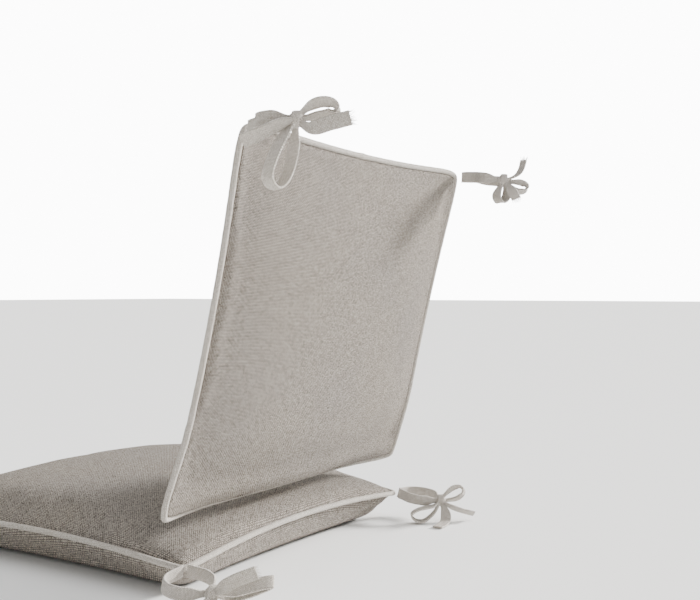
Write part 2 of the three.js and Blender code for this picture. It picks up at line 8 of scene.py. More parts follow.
import logging
import math
from dataclasses import dataclass, field
from enum import Enum
from typing import Iterable, Sequence

import bmesh
import bpy
import numpy as np
from mathutils import Matrix, Vector


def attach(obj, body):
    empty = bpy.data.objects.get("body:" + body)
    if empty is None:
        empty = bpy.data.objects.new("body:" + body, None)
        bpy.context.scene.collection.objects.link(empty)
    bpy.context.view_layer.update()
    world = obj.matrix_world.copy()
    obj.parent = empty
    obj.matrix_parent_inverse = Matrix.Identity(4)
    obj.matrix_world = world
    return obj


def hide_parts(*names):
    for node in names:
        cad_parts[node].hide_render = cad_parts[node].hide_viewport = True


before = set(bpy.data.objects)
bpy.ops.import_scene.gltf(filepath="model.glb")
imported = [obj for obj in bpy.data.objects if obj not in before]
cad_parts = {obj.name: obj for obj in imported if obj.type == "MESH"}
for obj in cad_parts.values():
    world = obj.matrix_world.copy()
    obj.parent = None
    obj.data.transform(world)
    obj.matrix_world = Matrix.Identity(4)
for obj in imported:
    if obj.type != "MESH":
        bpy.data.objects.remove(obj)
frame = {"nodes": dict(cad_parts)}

LOG = logging.getLogger("cushion_set")
Array = np.ndarray

MM = 0.001
POST_LEAN = math.radians(13.8)
POST_FOOT = Vector((0.0, 0.240, 0.025))


class Slot(str, Enum):
    """The record's material slots."""

    COVER = "cover_fabric"
    PIPING = "piping_fabric"
    TIE = "tie_fabric"
    ZIP_TAPE = "zip_tape"
    ZIP_COIL = "zip_coil"
    ZIP_METAL = "zip_metal"


class Body(str, Enum):
    """The frame's bodies that pieces ride on."""

    SEAT = "seat_cushion"
    BACK = "back_cushion"
    SEAT_SLIDER = "seat_zip_slider"
    SEAT_PULL = "seat_zip_pull"
    BACK_SLIDER = "back_zip_slider"
    BACK_PULL = "back_zip_pull"


# ---- meshes and paths ----------------------------------------------------------------------------


def add_mesh(name: str, points: Array, faces: Sequence[Sequence[int]], uvs: Array | None = None):
    """Makes a smooth-shaded mesh object in the scene.

    Args:
        name: The object's name.
        points: One row of x, y, z for each vertex, in metres.
        faces: Vertex numbers of each face.
        uvs: One row of u, v for each corner of each face, in order, or None.

    Returns:
        The new object.
    """
    mesh = bpy.data.meshes.new(name)
    mesh.from_pydata([tuple(map(float, p)) for p in points], [], [tuple(f) for f in faces])
    if uvs is not None:
        layer = mesh.uv_layers.new(name="thread")
        layer.data.foreach_set("uv", np.asarray(uvs, np.float32).ravel())
    mesh.polygons.foreach_set("use_smooth", [True] * len(mesh.polygons))
    mesh.update()
    piece = bpy.data.objects.new(name, mesh)
    bpy.context.scene.collection.objects.link(piece)
    return piece


def joined(name: str, pieces: Sequence["bpy.types.Object"]):
    """Joins mesh objects into the first one and renames it.

    Args:
        name: The joined object's name.
        pieces: Mesh objects, all unparented.

    Returns:
        The joined object.
    """
    with bpy.context.temp_override(
        active_object=pieces[0], selected_editable_objects=list(pieces), object=pieces[0]
    ):
        bpy.ops.object.join()
    pieces[0].name = name
    return pieces[0]


def face_outwards(piece) -> None:
    """Turns a closed mesh's faces round where they look inwards."""
    bm = bmesh.new()
    bm.from_mesh(piece.data)
    inward = bm.calc_volume(signed=True) < 0
    bm.free()
    if inward:
        piece.data.flip_normals()


def apply_modifiers(piece) -> None:
    """Replaces an object's mesh by its evaluated one and removes its modifiers."""
    graph = bpy.context.evaluated_depsgraph_get()
    mesh = bpy.data.meshes.new_from_object(piece.evaluated_get(graph))
    piece.modifiers.clear()
    piece.data = mesh


def lengths_along(points: Array, closed: bool = False) -> Array:
    """The distance along a polyline to each of its points."""
    steps = np.linalg.norm(np.diff(points, axis=0), axis=1)
    if closed:
        steps = np.append(steps, np.linalg.norm(points[0] - points[-1]))
    return np.concatenate([[0.0], np.cumsum(steps)])


def smooth_curve(points: Sequence[Sequence[float]], per_span: int = 24) -> Array:
    """A centripetal Catmull-Rom curve through points.

    Args:
        points: The points that it goes through.
        per_span: Samples between each two points.

    Returns:
        The curve's samples.
    """
    p = np.asarray(points, float)
    first, last = 2 * p[0] - p[1], 2 * p[-1] - p[-2]
    p = np.vstack([first, p, last])
    samples = []
    for i in range(1, len(p) - 2):
        q = p[i - 1 : i + 3]
        knots = np.concatenate([[0], np.cumsum(np.linalg.norm(np.diff(q, axis=0), axis=1) ** 0.5)])
        t = np.linspace(knots[1], knots[2], per_span, endpoint=False)[:, None]
        a = [
            (knots[k + 1] - t) / (knots[k + 1] - knots[k]) * q[k]
            + (t - knots[k]) / (knots[k + 1] - knots[k]) * q[k + 1]
            for k in range(3)
        ]
        b = [
            (knots[k + 2] - t) / (knots[k + 2] - knots[k]) * a[k]
            + (t - knots[k]) / (knots[k + 2] - knots[k]) * a[k + 1]
            for k in range(2)
        ]
        span = (knots[2] - t) / (knots[2] - knots[1]) * b[0] + (t - knots[1]) / (
            knots[2] - knots[1]
        ) * b[1]
        samples.append(span)
    return np.vstack([*samples, p[-2][None, :]])


def respaced(points: Array, step: float) -> Array:
    """The same polyline with points about step apart."""
    along = lengths_along(points)
    count = max(3, int(round(along[-1] / step)) + 1)
    wanted = np.linspace(0, along[-1], count)
    return np.column_stack([np.interp(wanted, along, points[:, k]) for k in range(3)])


def tangents_of(points: Array, closed: bool = False) -> Array:
    """Unit directions along a polyline, one for each point."""
    if closed:
        ahead, behind = np.roll(points, -1, axis=0), np.roll(points, 1, axis=0)
        t = ahead - behind
    else:
        t = np.gradient(points, axis=0)
    return t / np.linalg.norm(t, axis=1, keepdims=True)


def skin(rings: int, across: Sequence[float], along: Sequence[float], closed: bool = False, first: int = 0):
    """The faces between rings of vertices, and where their corners lie on the cloth.

    Args:
        rings: How many rings there are, numbered one after another.
        across: The cloth's place across at each vertex of a ring, and once more where the ring closes.
        along: The cloth's place along at each ring, and once more if the rings close.
        closed: Whether the last ring joins the first.
        first: The number of the first vertex.

    Returns:
        The faces, and the u, v of each of their corners in order.
    """
    sides = len(across) - 1
    faces, uvs = [], []
    for i in range(rings if closed else rings - 1):
        here, ahead = first + i * sides, first + (i + 1) % rings * sides
        for k in range(sides):
            m = (k + 1) % sides
            faces.append([here + k, here + m, ahead + m, ahead + k])
            for u, v in ((k, i), (k + 1, i), (k + 1, i + 1), (k, i + 1)):
                uvs.append((across[u], along[v]))
    return faces, uvs


def end_faces(rings: int, sides: int) -> list[list[int]]:
    """The two faces that close a tube of rings."""
    last = (rings - 1) * sides
    return [list(range(sides))[::-1], [last + k for k in range(sides)]]


def ramp(x: Array | float, low: float, high: float):
    """0 below low, 1 above high, and smooth between them."""
    t = np.clip((np.asarray(x, float) - low) / (high - low), 0, 1)
    return t * t * (3 - 2 * t)


def ripple(x: Array | float, seed: float) -> Array:
    """A smooth irregular wave, about -1 to 1, that repeats only over a long stretch."""
    x = np.asarray(x, float)
    return 0.5 * np.sin(x + seed) + 0.3 * np.sin(1.83 * x + 2.1 * seed) + 0.2 * np.sin(3.1 * x + seed)


# ---- node groups ---------------------------------------------------------------------------------


class Nodes:
    """A small helper that adds and wires shader nodes in one tree."""

    def __init__(self, tree: "bpy.types.NodeTree") -> None:
        self.tree = tree

    def add(self, kind: str, inputs: dict | None = None, **settings):
        """Adds a node, sets its properties, and sets or links its inputs.

        Args:
            kind: The node's type name.
            inputs: Socket name or number to a value or an output socket.
            **settings: The node's own properties.

        Returns:
            The node.
        """
        node = self.tree.nodes.new(kind)
        for key, value in settings.items():
            setattr(node, key, value)
        for key, value in (inputs or {}).items():
            socket = node.inputs[key]
            if isinstance(value, bpy.types.NodeSocket):
                self.tree.links.new(value, socket)
            else:
                socket.default_value = value
        return node

    def math(self, operation: str, a, b=0.0, clamp: bool = False):
        """One Math node's output."""
        return self.add("ShaderNodeMath", {0: a, 1: b}, operation=operation, use_clamp=clamp).outputs[0]

    def mix(self, share, a, b, blend: str = "MIX"):
        """One colour Mix node's output."""
        node = self.add("ShaderNodeMix", data_type="RGBA", blend_type=blend)
        for socket, value in ((node.inputs[0], share), (node.inputs[6], a), (node.inputs[7], b)):
            if isinstance(value, bpy.types.NodeSocket):
                self.tree.links.new(value, socket)
            else:
                socket.default_value = value
        return node.outputs[2]

    def span(self, value, low: float, high: float, to_low: float = 0.0, to_high: float = 1.0):
        """A clamped Map Range's output."""
        node = self.add(
            "ShaderNodeMapRange",
            {"Value": value, "From Min": low, "From Max": high, "To Min": to_low, "To Max": to_high},
        )
        return node.outputs[0]


def new_group(name: str, inputs: dict[str, tuple[str, object]], outputs: dict[str, str]):
    """An empty shader node group with named sockets.

    Args:
        name: The group's name.
        inputs: Socket name to its type and default value.
        outputs: Socket name to its type.

    Returns:
        The tree, its Nodes helper, the input node and the output node.
    """
    tree = bpy.data.node_groups.new(name, "ShaderNodeTree")
    for key, (kind, default) in inputs.items():
        socket = tree.interface.new_socket(name=key, in_out="INPUT", socket_type=kind)
        if default is not None:
            socket.default_value = default
    for key, kind in outputs.items():
        tree.interface.new_socket(name=key, in_out="OUTPUT", socket_type=kind)
    nodes = Nodes(tree)
    return tree, nodes, nodes.add("NodeGroupInput"), nodes.add("NodeGroupOutput")


class WeaveGroup:
    """Plain weave of slubby yarns: heights, and how light each spot of yarn is, with painted shade in the
    gaps between yarns.
    """

    NAME = "plain_weave"

    @classmethod
    def tree(cls):
        """The group's tree, built once.

        Returns:
            A tree with inputs Thread (metres along and across the cloth), Pitch and Slub, and outputs
            Height (0 in the gaps to 1 on the yarns) and Shade (0 dark to 1 light), which is the yarns' own
            tone darkened by painted shade in the gaps between them.
        """
        found = bpy.data.node_groups.get(cls.NAME)
        if found:
            return found
        tree, n, given, made = new_group(
            cls.NAME,
            {
                "Thread": ("NodeSocketVector", None),
                "Pitch": ("NodeSocketFloat", 0.0013),
                "Slub": ("NodeSocketFloat", 0.5),
            },
            {"Height": "NodeSocketFloat", "Shade": "NodeSocketFloat"},
        )
        wobble = n.add(
            "ShaderNodeTexNoise", {"Vector": given.outputs["Thread"], "Scale": 45.0, "Detail": 2.0}
        )
        moved = n.add(
            "ShaderNodeVectorMath",
            {0: wobble.outputs["Color"], 1: (0.0007, 0.0007, 0.0), 2: given.outputs["Thread"]},
            operation="MULTIPLY_ADD",
        )
        parts = n.add("ShaderNodeSeparateXYZ", {0: moved.outputs[0]})
        u = n.math("DIVIDE", parts.outputs[0], given.outputs["Pitch"])
        v = n.math("DIVIDE", parts.outputs[1], given.outputs["Pitch"])
        wave_u = n.math("SINE", n.math("MULTIPLY", u, math.pi))
        wave_v = n.math("SINE", n.math("MULTIPLY", v, math.pi))
        over = n.math("MULTIPLY", wave_u, wave_v)
        warp = n.math("MULTIPLY", n.math("ABSOLUTE", wave_u), n.span(over, -1, 1, 0.15, 1.0))
        weft = n.math("MULTIPLY", n.math("ABSOLUTE", wave_v), n.span(over, 1, -1, 0.15, 1.0))
        height = n.math("MAXIMUM", warp, weft)
        shades = []
        for along, across in ((v, u), (u, v)):
            yarn = n.add(
                "ShaderNodeCombineXYZ",
                {0: n.math("MULTIPLY", along, 0.16), 1: n.math("FLOOR", across), 2: 0.0},
            )
            noise = n.add(
                "ShaderNodeTexNoise", {"Vector": yarn.outputs[0], "Scale": 1.7, "Detail": 2.0}
            )
            shades.append(noise.outputs["Fac"])
        is_warp = n.math("GREATER_THAN", over, 0.0)
        picked = n.add("ShaderNodeMix", {0: is_warp, 2: shades[1], 3: shades[0]}, data_type="FLOAT")
        spread = n.span(picked.outputs[0], 0.38, 0.62)
        flecks = n.add(
            "ShaderNodeTexNoise", {"Vector": moved.outputs[0], "Scale": 700.0, "Detail": 1.0}
        )
        fleck = n.span(flecks.outputs["Fac"], 0.4, 0.6)
        slub = given.outputs["Slub"]
        tone = n.add("ShaderNodeMix", {0: slub, 2: fleck, 3: spread}, data_type="FLOAT")
        crossing = n.add("ShaderNodeMix", {0: 0.32, 2: tone.outputs[0], 3: is_warp}, data_type="FLOAT")
        # Painted shade: the yarns' tone drops to a tenth in the gaps between them, where shade would fall.
        shade = n.math("MULTIPLY", crossing.outputs[0], n.span(height, 0.25, 0.8, 0.1, 1.0))
        tree.links.new(height, made.inputs["Height"])
        tree.links.new(shade, made.inputs["Shade"])
        return tree


class HandlingGroup:
    """Slow changes of tone over a cloth, from handling and from how the nap lies."""

    NAME = "handling"

    @classmethod
    def tree(cls):
        """The group's tree, built once.

        Returns:
            A tree with the input Place (metres) and the outputs Tone (about 0 to 1) and Soil, a mask.
        """
        found = bpy.data.node_groups.get(cls.NAME)
        if found:
            return found
        tree, n, given, made = new_group(
            cls.NAME,
            {"Place": ("NodeSocketVector", None)},
            {"Tone": "NodeSocketFloat", "Soil": "NodeSocketFloat"},
        )
        slow = n.add(
            "ShaderNodeTexNoise", {"Vector": given.outputs["Place"], "Scale": 9.0, "Detail": 3.0}
        )
        patches = n.add(
            "ShaderNodeTexNoise", {"Vector": given.outputs["Place"], "Scale": 38.0, "Detail": 4.0}
        )
        tree.links.new(n.span(slow.outputs["Fac"], 0.3, 0.7), made.inputs["Tone"])
        tree.links.new(n.span(patches.outputs["Fac"], 0.52, 0.78), made.inputs["Soil"])
        return tree


class ScuffGroup:
    """Fine scratches and dull patches for small metal pieces."""

    NAME = "scuffs"

    @classmethod
    def tree(cls):
        """The group's tree, built once.

        Returns:
            A tree with the input Place (metres) and the outputs Scratch and Dull, two masks.
        """
        found = bpy.data.node_groups.get(cls.NAME)
        if found:
            return found
        tree, n, given, made = new_group(
            cls.NAME,
            {"Place": ("NodeSocketVector", None)},
            {"Scratch": "NodeSocketFloat", "Dull": "NodeSocketFloat"},
        )
        stretched = n.add(
            "ShaderNodeMapping", {"Vector": given.outputs["Place"], "Scale": (1.0, 14.0, 14.0)}
        )
        lines = n.add("ShaderNodeTexNoise", {"Vector": stretched.outputs[0], "Scale": 260.0})
        dull = n.add("ShaderNodeTexNoise", {"Vector": given.outputs["Place"], "Scale": 420.0})
        tree.links.new(n.span(lines.outputs["Fac"], 0.58, 0.7), made.inputs["Scratch"])
        tree.links.new(n.span(dull.outputs["Fac"], 0.4, 0.7), made.inputs["Dull"])
        return tree


# ---- finishes ------------------------------------------------------------------------------------


class ThreadSource(Enum):
    """Where a woven finish takes its thread directions from."""

    UV = "uv"
    FLAT = "flat"  # the piece's own X and Y
    UPRIGHT = "upright"  # the piece's own X and Z


def new_material(name: str, color: Sequence[float]):
    """A material to be wired.

    Args:
        name: Its name.
        color: Its colour in plain views.

    Returns:
        The material, its Nodes helper, its shader and its Texture Coordinate node.
    """
    made = bpy.data.materials.new(name)
    made.use_nodes = True
    made.diffuse_color = (*color, 1.0)
    n = Nodes(made.node_tree)
    return made, n, made.node_tree.nodes["Principled BSDF"], n.add("ShaderNodeTexCoord")


@dataclass(frozen=True)
class WovenFinish:
    """A woven cloth.

    Attributes:
        name: The material's name.
        dark: Colour of the darkest yarns, and of the painted shade in the gaps between yarns.
        light: Colour of the lightest yarns.
        pitch: Distance between yarns, in metres.
        slub: How much tone goes by whole yarns rather than by flecks, 0 to 1.
        relief: Height of the yarns, in metres.
        turn: How far the yarns are turned from the piece's own axes, in radians.
        threads: Where the thread directions come from.
        sheen: How much the loose fibres catch grazing light.
    """

    name: str
    dark: tuple[float, float, float]
    light: tuple[float, float, float]
    pitch: float = 0.0014
    slub: float = 0.55
    relief: float = 0.0014
    turn: float = 0.0
    threads: ThreadSource = ThreadSource.UV
    sheen: float = 0.12

    def material(self):
        """The finish as a material, built once."""
        made = bpy.data.materials.get(self.name)
        if made:
            return made
        made, n, shader, place = new_material(self.name, self.light)
        if self.threads is ThreadSource.UV:
            along = n.add("ShaderNodeUVMap", uv_map="thread").outputs[0]
        elif self.threads is ThreadSource.FLAT:
            along = place.outputs["Object"]
        else:
            split = n.add("ShaderNodeSeparateXYZ", {0: place.outputs["Object"]})
            along = n.add(
                "ShaderNodeCombineXYZ", {0: split.outputs[0], 1: split.outputs[2], 2: 0.0}
            ).outputs[0]
        turned = n.add("ShaderNodeMapping", {"Vector": along, "Rotation": (0.0, 0.0, self.turn)})
        weave = n.add("ShaderNodeGroup", node_tree=WeaveGroup.tree())
        made.node_tree.links.new(turned.outputs[0], weave.inputs["Thread"])
        weave.inputs["Pitch"].default_value = self.pitch
        weave.inputs["Slub"].default_value = self.slub
        handling = n.add("ShaderNodeGroup", node_tree=HandlingGroup.tree())
        made.node_tree.links.new(place.outputs["Object"], handling.inputs["Place"])
        # The weave's Shade holds the yarns' own tone and the painted shade in the gaps between them.
        colour = n.mix(weave.outputs["Shade"], (*self.dark, 1.0), (*self.light, 1.0))
        warm = n.mix(handling.outputs["Tone"], (0.93, 0.93, 0.95, 1.0), (1.0, 0.985, 0.96, 1.0))
        toned = n.mix(1.0, colour, warm, "MULTIPLY")
        soiled = n.mix(
            n.math("MULTIPLY", handling.outputs["Soil"], 0.10), toned, (*self.dark, 1.0)
        )
        made.node_tree.links.new(soiled, shader.inputs["Base Color"])
        rough = n.span(weave.outputs["Height"], 0.0, 1.0, 0.98, 0.86)
        made.node_tree.links.new(rough, shader.inputs["Roughness"])
        bump = n.add(
            "ShaderNodeBump", {"Height": weave.outputs["Height"], "Distance": self.relief}
        )
        made.node_tree.links.new(bump.outputs[0], shader.inputs["Normal"])
        shader.inputs["Specular IOR Level"].default_value = 0.18
        shader.inputs["Sheen Weight"].default_value = self.sheen
        shader.inputs["Sheen Roughness"].default_value = 0.6
        return made


@dataclass(frozen=True)
class MetalFinish:
    """A small plated or cast metal piece.

    Attributes:
        name: The material's name.
        color: Its base colour.
        roughness: Its roughness where it isn't dull.
    """

    name: str
    color: tuple[float, float, float]
    roughness: float = 0.32

    def material(self):
        """The finish as a material, built once."""
        made = bpy.data.materials.get(self.name)
        if made:
            return made
        made, n, shader, place = new_material(self.name, self.color)
        scuffs = n.add("ShaderNodeGroup", node_tree=ScuffGroup.tree())
        made.node_tree.links.new(place.outputs["Object"], scuffs.inputs["Place"])
        worn = tuple(0.8 * c for c in self.color)
        colour = n.mix(scuffs.outputs["Dull"], (*self.color, 1.0), (*worn, 1.0))
        made.node_tree.links.new(colour, shader.inputs["Base Color"])
        rough = n.math("ADD", n.math("MULTIPLY", scuffs.outputs["Dull"], 0.22), self.roughness)
        scratched = n.math("ADD", rough, n.math("MULTIPLY", scuffs.outputs["Scratch"], 0.12))
        made.node_tree.links.new(scratched, shader.inputs["Roughness"])
        bump = n.add(
            "ShaderNodeBump",
            {"Height": scuffs.outputs["Scratch"], "Distance": 0.00002, "Strength": 0.5},
        )
        made.node_tree.links.new(bump.outputs[0], shader.inputs["Normal"])
        shader.inputs["Metallic"].default_value = 1.0
        return made


@dataclass(frozen=True)
class NylonFinish:
    """A zip's moulded coil.

    Attributes:
        name: The material's name.
        color: Its colour.
    """

    name: str
    color: tuple[float, float, float]

    def material(self):
        """The finish as a material, built once."""
        made = bpy.data.materials.get(self.name)
        if made:
            return made
        made, n, shader, place = new_material(self.name, self.color)
        handling = n.add("ShaderNodeGroup", node_tree=HandlingGroup.tree())
        made.node_tree.links.new(place.outputs["Object"], handling.inputs["Place"])
        darker = tuple(0.85 * c for c in self.color)
        colour = n.mix(handling.outputs["Soil"], (*self.color, 1.0), (*darker, 1.0))
        made.node_tree.links.new(colour, shader.inputs["Base Color"])
        made.node_tree.links.new(
            n.span(handling.outputs["Tone"], 0, 1, 0.38, 0.5), shader.inputs["Roughness"]
        )
        return made


# LINEN_DARK is the darkest yarns' colour and also the painted shade in the weave's gaps.
LINEN_DARK = (0.030, 0.021, 0.014)
LINEN_LIGHT = (0.97, 0.87, 0.75)

COVER_FLAT = WovenFinish("linen_seat", LINEN_DARK, LINEN_LIGHT, threads=ThreadSource.FLAT)
COVER_UPRIGHT = WovenFinish("linen_back", LINEN_DARK, LINEN_LIGHT, threads=ThreadSource.UPRIGHT)
PIPING = WovenFinish(
    "linen_piping",
    (0.30, 0.262, 0.215),
    (0.99, 0.955, 0.89),
    pitch=0.0012,
    relief=0.0004,
    turn=math.radians(38),
    sheen=0.2,
)
TAPE = WovenFinish(
    "linen_tape",
    (0.30, 0.262, 0.215),
    (0.99, 0.955, 0.89),
    pitch=0.00115,
    relief=0.0004,
    sheen=0.2,
)
FIBRE = WovenFinish(
    "linen_fibre", (0.55, 0.52, 0.48), (0.86, 0.83, 0.79), pitch=0.0006, relief=0.0001, sheen=0.3
)
ZIP_TAPE = WovenFinish(
    "zip_twill", (0.30, 0.27, 0.235), (0.58, 0.54, 0.48), pitch=0.0006, relief=0.0001
)
ZIP_COIL = NylonFinish("zip_nylon", (0.62, 0.58, 0.51))
ZIP_METAL = MetalFinish("zip_nickel", (0.66, 0.64, 0.60))


def finish_with(piece, finish, body: Body, replaces: Iterable[str] = ()) -> None:
    """Gives a piece its material, hides the CAD nodes that it stands for and hangs it on its body.

    Args:
        piece: The object, in place.
        finish: Anything with a material() method.
        body: The body that it rides on.
        replaces: The CAD nodes that it stands for.
    """
    piece.data.materials.clear()
    piece.data.materials.append(finish.material())
    for node in replaces:
        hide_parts(node)
    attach(piece, body.value)


# ---- cushions ------------------------------------------------------------------------------------


@dataclass(frozen=True)
class Outline:
    """A four-sided outline whose sides pull in between its corners. All in metres.

    Attributes:
        low: Where its low edge is.
        high: Where its high edge is.
        half_low: Half its width at the low edge.
        half_high: Half its width at the high edge.
        side_pull: How far its sides pull in.
        low_pull: How far its low edge pulls in.
        high_pull: How far its high edge pulls in.
        corner_cut: How far its corners are drawn in.
    """

    low: float
    high: float
    half_low: float
    half_high: float
    side_pull: float
    low_pull: float
    high_pull: float
    corner_cut: float

    def at(self, a: Array, b: Array) -> tuple[Array, Array]:
        """Where points of the unit square lie.

        Args:
            a: Across, -1 to 1.
            b: From the low edge, -1, to the high edge, 1.

        Returns:
            The places across and along.
        """
        corner = self.corner_cut * (a * a * b * b) ** 6
        half = self.half_low + (self.half_high - self.half_low) * (b + 1) / 2
        pull = np.where(b > 0, self.high_pull, self.low_pull)
        reach = (self.high - self.low) / 2 - pull * (1 - a * a) * np.abs(b)
        across = a * (half - self.side_pull * (1 - b * b) - corner)
        return across, (self.high + self.low) / 2 + b * (reach - corner)


@dataclass(frozen=True)
class Swell:
    """How a cushion's cover is blown up.

    Attributes:
        pressure: The cloth's inner pressure.
        frames: How many frames it runs.
        cap: How far a point may move, in metres.
        stiffness: The cloth's tension stiffness.
    """

    pressure: float = 3.0
    frames: int = 18
    cap: float = 0.009
    stiffness: float = 12.0


@dataclass
class Zip:
    """Where a cushion's zip is: its own frame, with X along it and +Z out of the cushion.

    Attributes:
        prefix: The beginning of its nodes' names.
        matrix: Its frame.
        half: Half the length of its slot, in metres.
        cushion: The body that its tapes ride on.
        slider: The body of its slider.
        pull: The body of its pull tab.
    """

    prefix: str
    matrix: Matrix
    half: float
    cushion: Body
    slider: Body
    pull: Body

    SLOT_HALF = 0.005
    DEPTH = 0.0078

    def slot_tool(self):
        """A box that cuts the zip's channel out of a cover."""
        bm = bmesh.new()
        bmesh.ops.create_cube(bm, size=1.0)
        for v in bm.verts:
            v.co.x *= 2 * self.half
            v.co.y *= 2 * self.SLOT_HALF
            v.co.z = -self.DEPTH if v.co.z < 0 else 0.004
        mesh = bpy.data.meshes.new("slot_tool")
        bm.to_mesh(mesh)
        bm.free()
        tool = bpy.data.objects.new("slot_tool", mesh)
        tool.matrix_world = self.matrix
        bpy.context.scene.collection.objects.link(tool)
        return tool


@dataclass
class Cushion:
    """A knife-edge cushion: a cover of two faces sewn together at a piped seam.

    Attributes:
        name: The beginning of its pieces' names.
        outline: Its outline.
        body: The body that it rides on.
        finish: Its cover's finish.
        swell: How it is blown up.
        nodes: The CAD nodes that its cover stands for.
        cells: Cells along one side of its grid.
        zip: Its zip.
        seed: Makes its irregularities its own.
    """

    name: str
    outline: Outline
    body: Body
    finish: WovenFinish
    swell: Swell
    nodes: tuple[str, ...]
    zip: Zip
    seed: float
    cells: int = 60
    frame: Matrix = field(default_factory=Matrix)

    PIPING_RADIUS = 0.003
    SEAM_GAP = 0.0003

    def seam(self, a: Array, b: Array) -> Array:
        """The seam's place through the cushion's thickness."""
        raise NotImplementedError

    def faces_at(self, a: Array, b: Array) -> tuple[Array, Array]:
        """The places of its upper and its lower face through its thickness."""
        raise NotImplementedError

    def to_frame(self, across: Array, along: Array, through: Array) -> Array:
        """Points of the cushion's own frame."""
        raise NotImplementedError

    def grid(self) -> tuple[Array, Array]:
        """The grid's values across and along, closer together near the seam."""
        t = np.linspace(-1, 1, self.cells + 1)
        t = np.sign(t) * (1 - (1 - np.abs(t)) ** 1.25)
        return np.meshgrid(t, t, indexing="xy")

    def rest_cover(self):
        """The cover before it is blown up, in the cushion's own frame.

        Returns:
            The mesh object, and for each vertex its a, its b and which face it is on (1, 0 at the seam,
            or -1).
        """
        a, b = self.grid()
        n = self.cells + 1
        across, along = self.outline.at(a, b)
        upper, lower = self.faces_at(a, b)
        rim = (np.abs(a) > 1 - 1e-9) | (np.abs(b) > 1 - 1e-9)
        top = self.to_frame(across, along, upper).reshape(-1, 3)
        low = self.to_frame(across, along, lower).reshape(-1, 3)
        flat_rim = rim.ravel()
        number = np.arange(n * n)
        below = np.full(n * n, -1)
        below[flat_rim] = number[flat_rim]
        inside = np.where(~flat_rim)[0]
        below[inside] = n * n + np.arange(len(inside))
        points = np.vstack([top, low[inside]])
        faces = []
        for j in range(n - 1):
            for i in range(n - 1):
                q = [j * n + i, j * n + i + 1, (j + 1) * n + i + 1, (j + 1) * n + i]
                faces.append(q)
                faces.append([int(below[k]) for k in reversed(q)])
        side = np.concatenate([np.where(flat_rim, 0, 1), np.full(len(inside), -1)])
        aa = np.concatenate([a.ravel(), a.ravel()[inside]])
        bb = np.concatenate([b.ravel(), b.ravel()[inside]])
        cover = add_mesh(f"{self.name}_cover", points, faces)
        bm = bmesh.new()
        bm.from_mesh(cover.data)
        bmesh.ops.recalc_face_normals(bm, faces=bm.faces)
        bm.to_mesh(cover.data)
        bm.free()
        return cover, aa, bb, side

    def hold(self, a: Array, b: Array, side: Array, points: Array) -> Array:
        """How freely each vertex may move as the cover is blown up, 0 to 1."""
        return np.ones(len(points))

    def blow_up(self, cover, a: Array, b: Array, side: Array) -> None:
        """Runs the cloth on a cover and keeps its result, capped.

        Args:
            cover: The cover's object, which is changed.
            a: Each vertex's place across.
            b: Each vertex's place along.
            side: The face that each vertex is on.
        """
        count = len(cover.data.vertices)
        rest = np.empty(count * 3)
        cover.data.vertices.foreach_get("co", rest)
        rest = rest.reshape(-1, 3)
        pins = cover.vertex_groups.new(name="seam")
        pins.add([int(i) for i in np.where(side == 0)[0]], 1.0, "REPLACE")
        cloth = cover.modifiers.new("cloth", "CLOTH")
        cloth.settings.vertex_group_mass = "seam"
        cloth.settings.quality = 5
        cloth.settings.mass = 0.3
        cloth.settings.tension_stiffness = self.swell.stiffness
        cloth.settings.compression_stiffness = self.swell.stiffness
        cloth.settings.shear_stiffness = 4.0
        cloth.settings.bending_stiffness = 1.2
        cloth.settings.use_pressure = True
        cloth.settings.uniform_pressure_force = self.swell.pressure
        cloth.settings.shrink_min = -0.008
        cloth.settings.effector_weights.gravity = 0.0
        cloth.collision_settings.use_collision = False
        scene = bpy.context.scene
        cloth.point_cache.frame_start = 1
        cloth.point_cache.frame_end = self.swell.frames
        for frame_number in range(1, self.swell.frames + 1):
            scene.frame_set(frame_number)
        graph = bpy.context.evaluated_depsgraph_get()
        blown = np.empty(count * 3)
        cover.evaluated_get(graph).data.vertices.foreach_get("co", blown)
        cover.modifiers.clear()
        scene.frame_set(1)
        move = blown.reshape(-1, 3) - rest
        size = np.linalg.norm(move, axis=1)
        free = self.hold(a, b, side, rest) * self.swell.cap
        capped = free * np.tanh(size / np.maximum(free, 1e-6))
        kept = rest + move * np.where(size > 1e-9, capped / np.maximum(size, 1e-9), 0)[:, None]
        cover.data.vertices.foreach_set("co", kept.ravel())
        cover.data.update()
        most, kept_most = size.max() / MM, capped.max() / MM
        LOG.info("%s blown up by %.1f mm at most, %.1f kept", self.name, most, kept_most)

    def pucker(self, cover, a: Array, b: Array, side: Array) -> None:
        """Adds the small ripples that a gathered seam leaves, and the filling's slow lumps."""
        mesh = cover.data
        points = np.array([v.co for v in mesh.vertices])
        normals = np.array([v.normal for v in mesh.vertices])
        along_side = np.where(np.abs(a) > np.abs(b), b, a) * 0.2
        near = 1 - np.maximum(np.abs(a), np.abs(b))
        fades = np.exp(-near / 0.09) * ramp(near, 0.0, 0.02)
        waves = ripple(along_side * 330, self.seed + 3 * side) * 0.0005 * fades
        lumps = ripple(a * 5 + 2 * np.sin(3 * b + self.seed), self.seed) * ripple(
            b * 6 + side, 2 + self.seed
        )
        free = self.hold(a, b, side, points)
        moved = points + normals * ((waves + lumps * 0.0007) * free * (side != 0))[:, None]
        mesh.vertices.foreach_set("co", moved.ravel())
        mesh.update()

    @staticmethod
    def crease_seam(cover, side: Array) -> None:
        """Keeps the seam where it is as the cover is subdivided."""
        ends = np.empty(2 * len(cover.data.edges), int)
        cover.data.edges.foreach_get("vertices", ends)
        on_seam = (side[ends.reshape(-1, 2)] == 0).all(axis=1)
        crease = cover.data.attributes.new("crease_edge", "FLOAT", "EDGE")
        crease.data.foreach_set("value", on_seam.astype(np.float32))

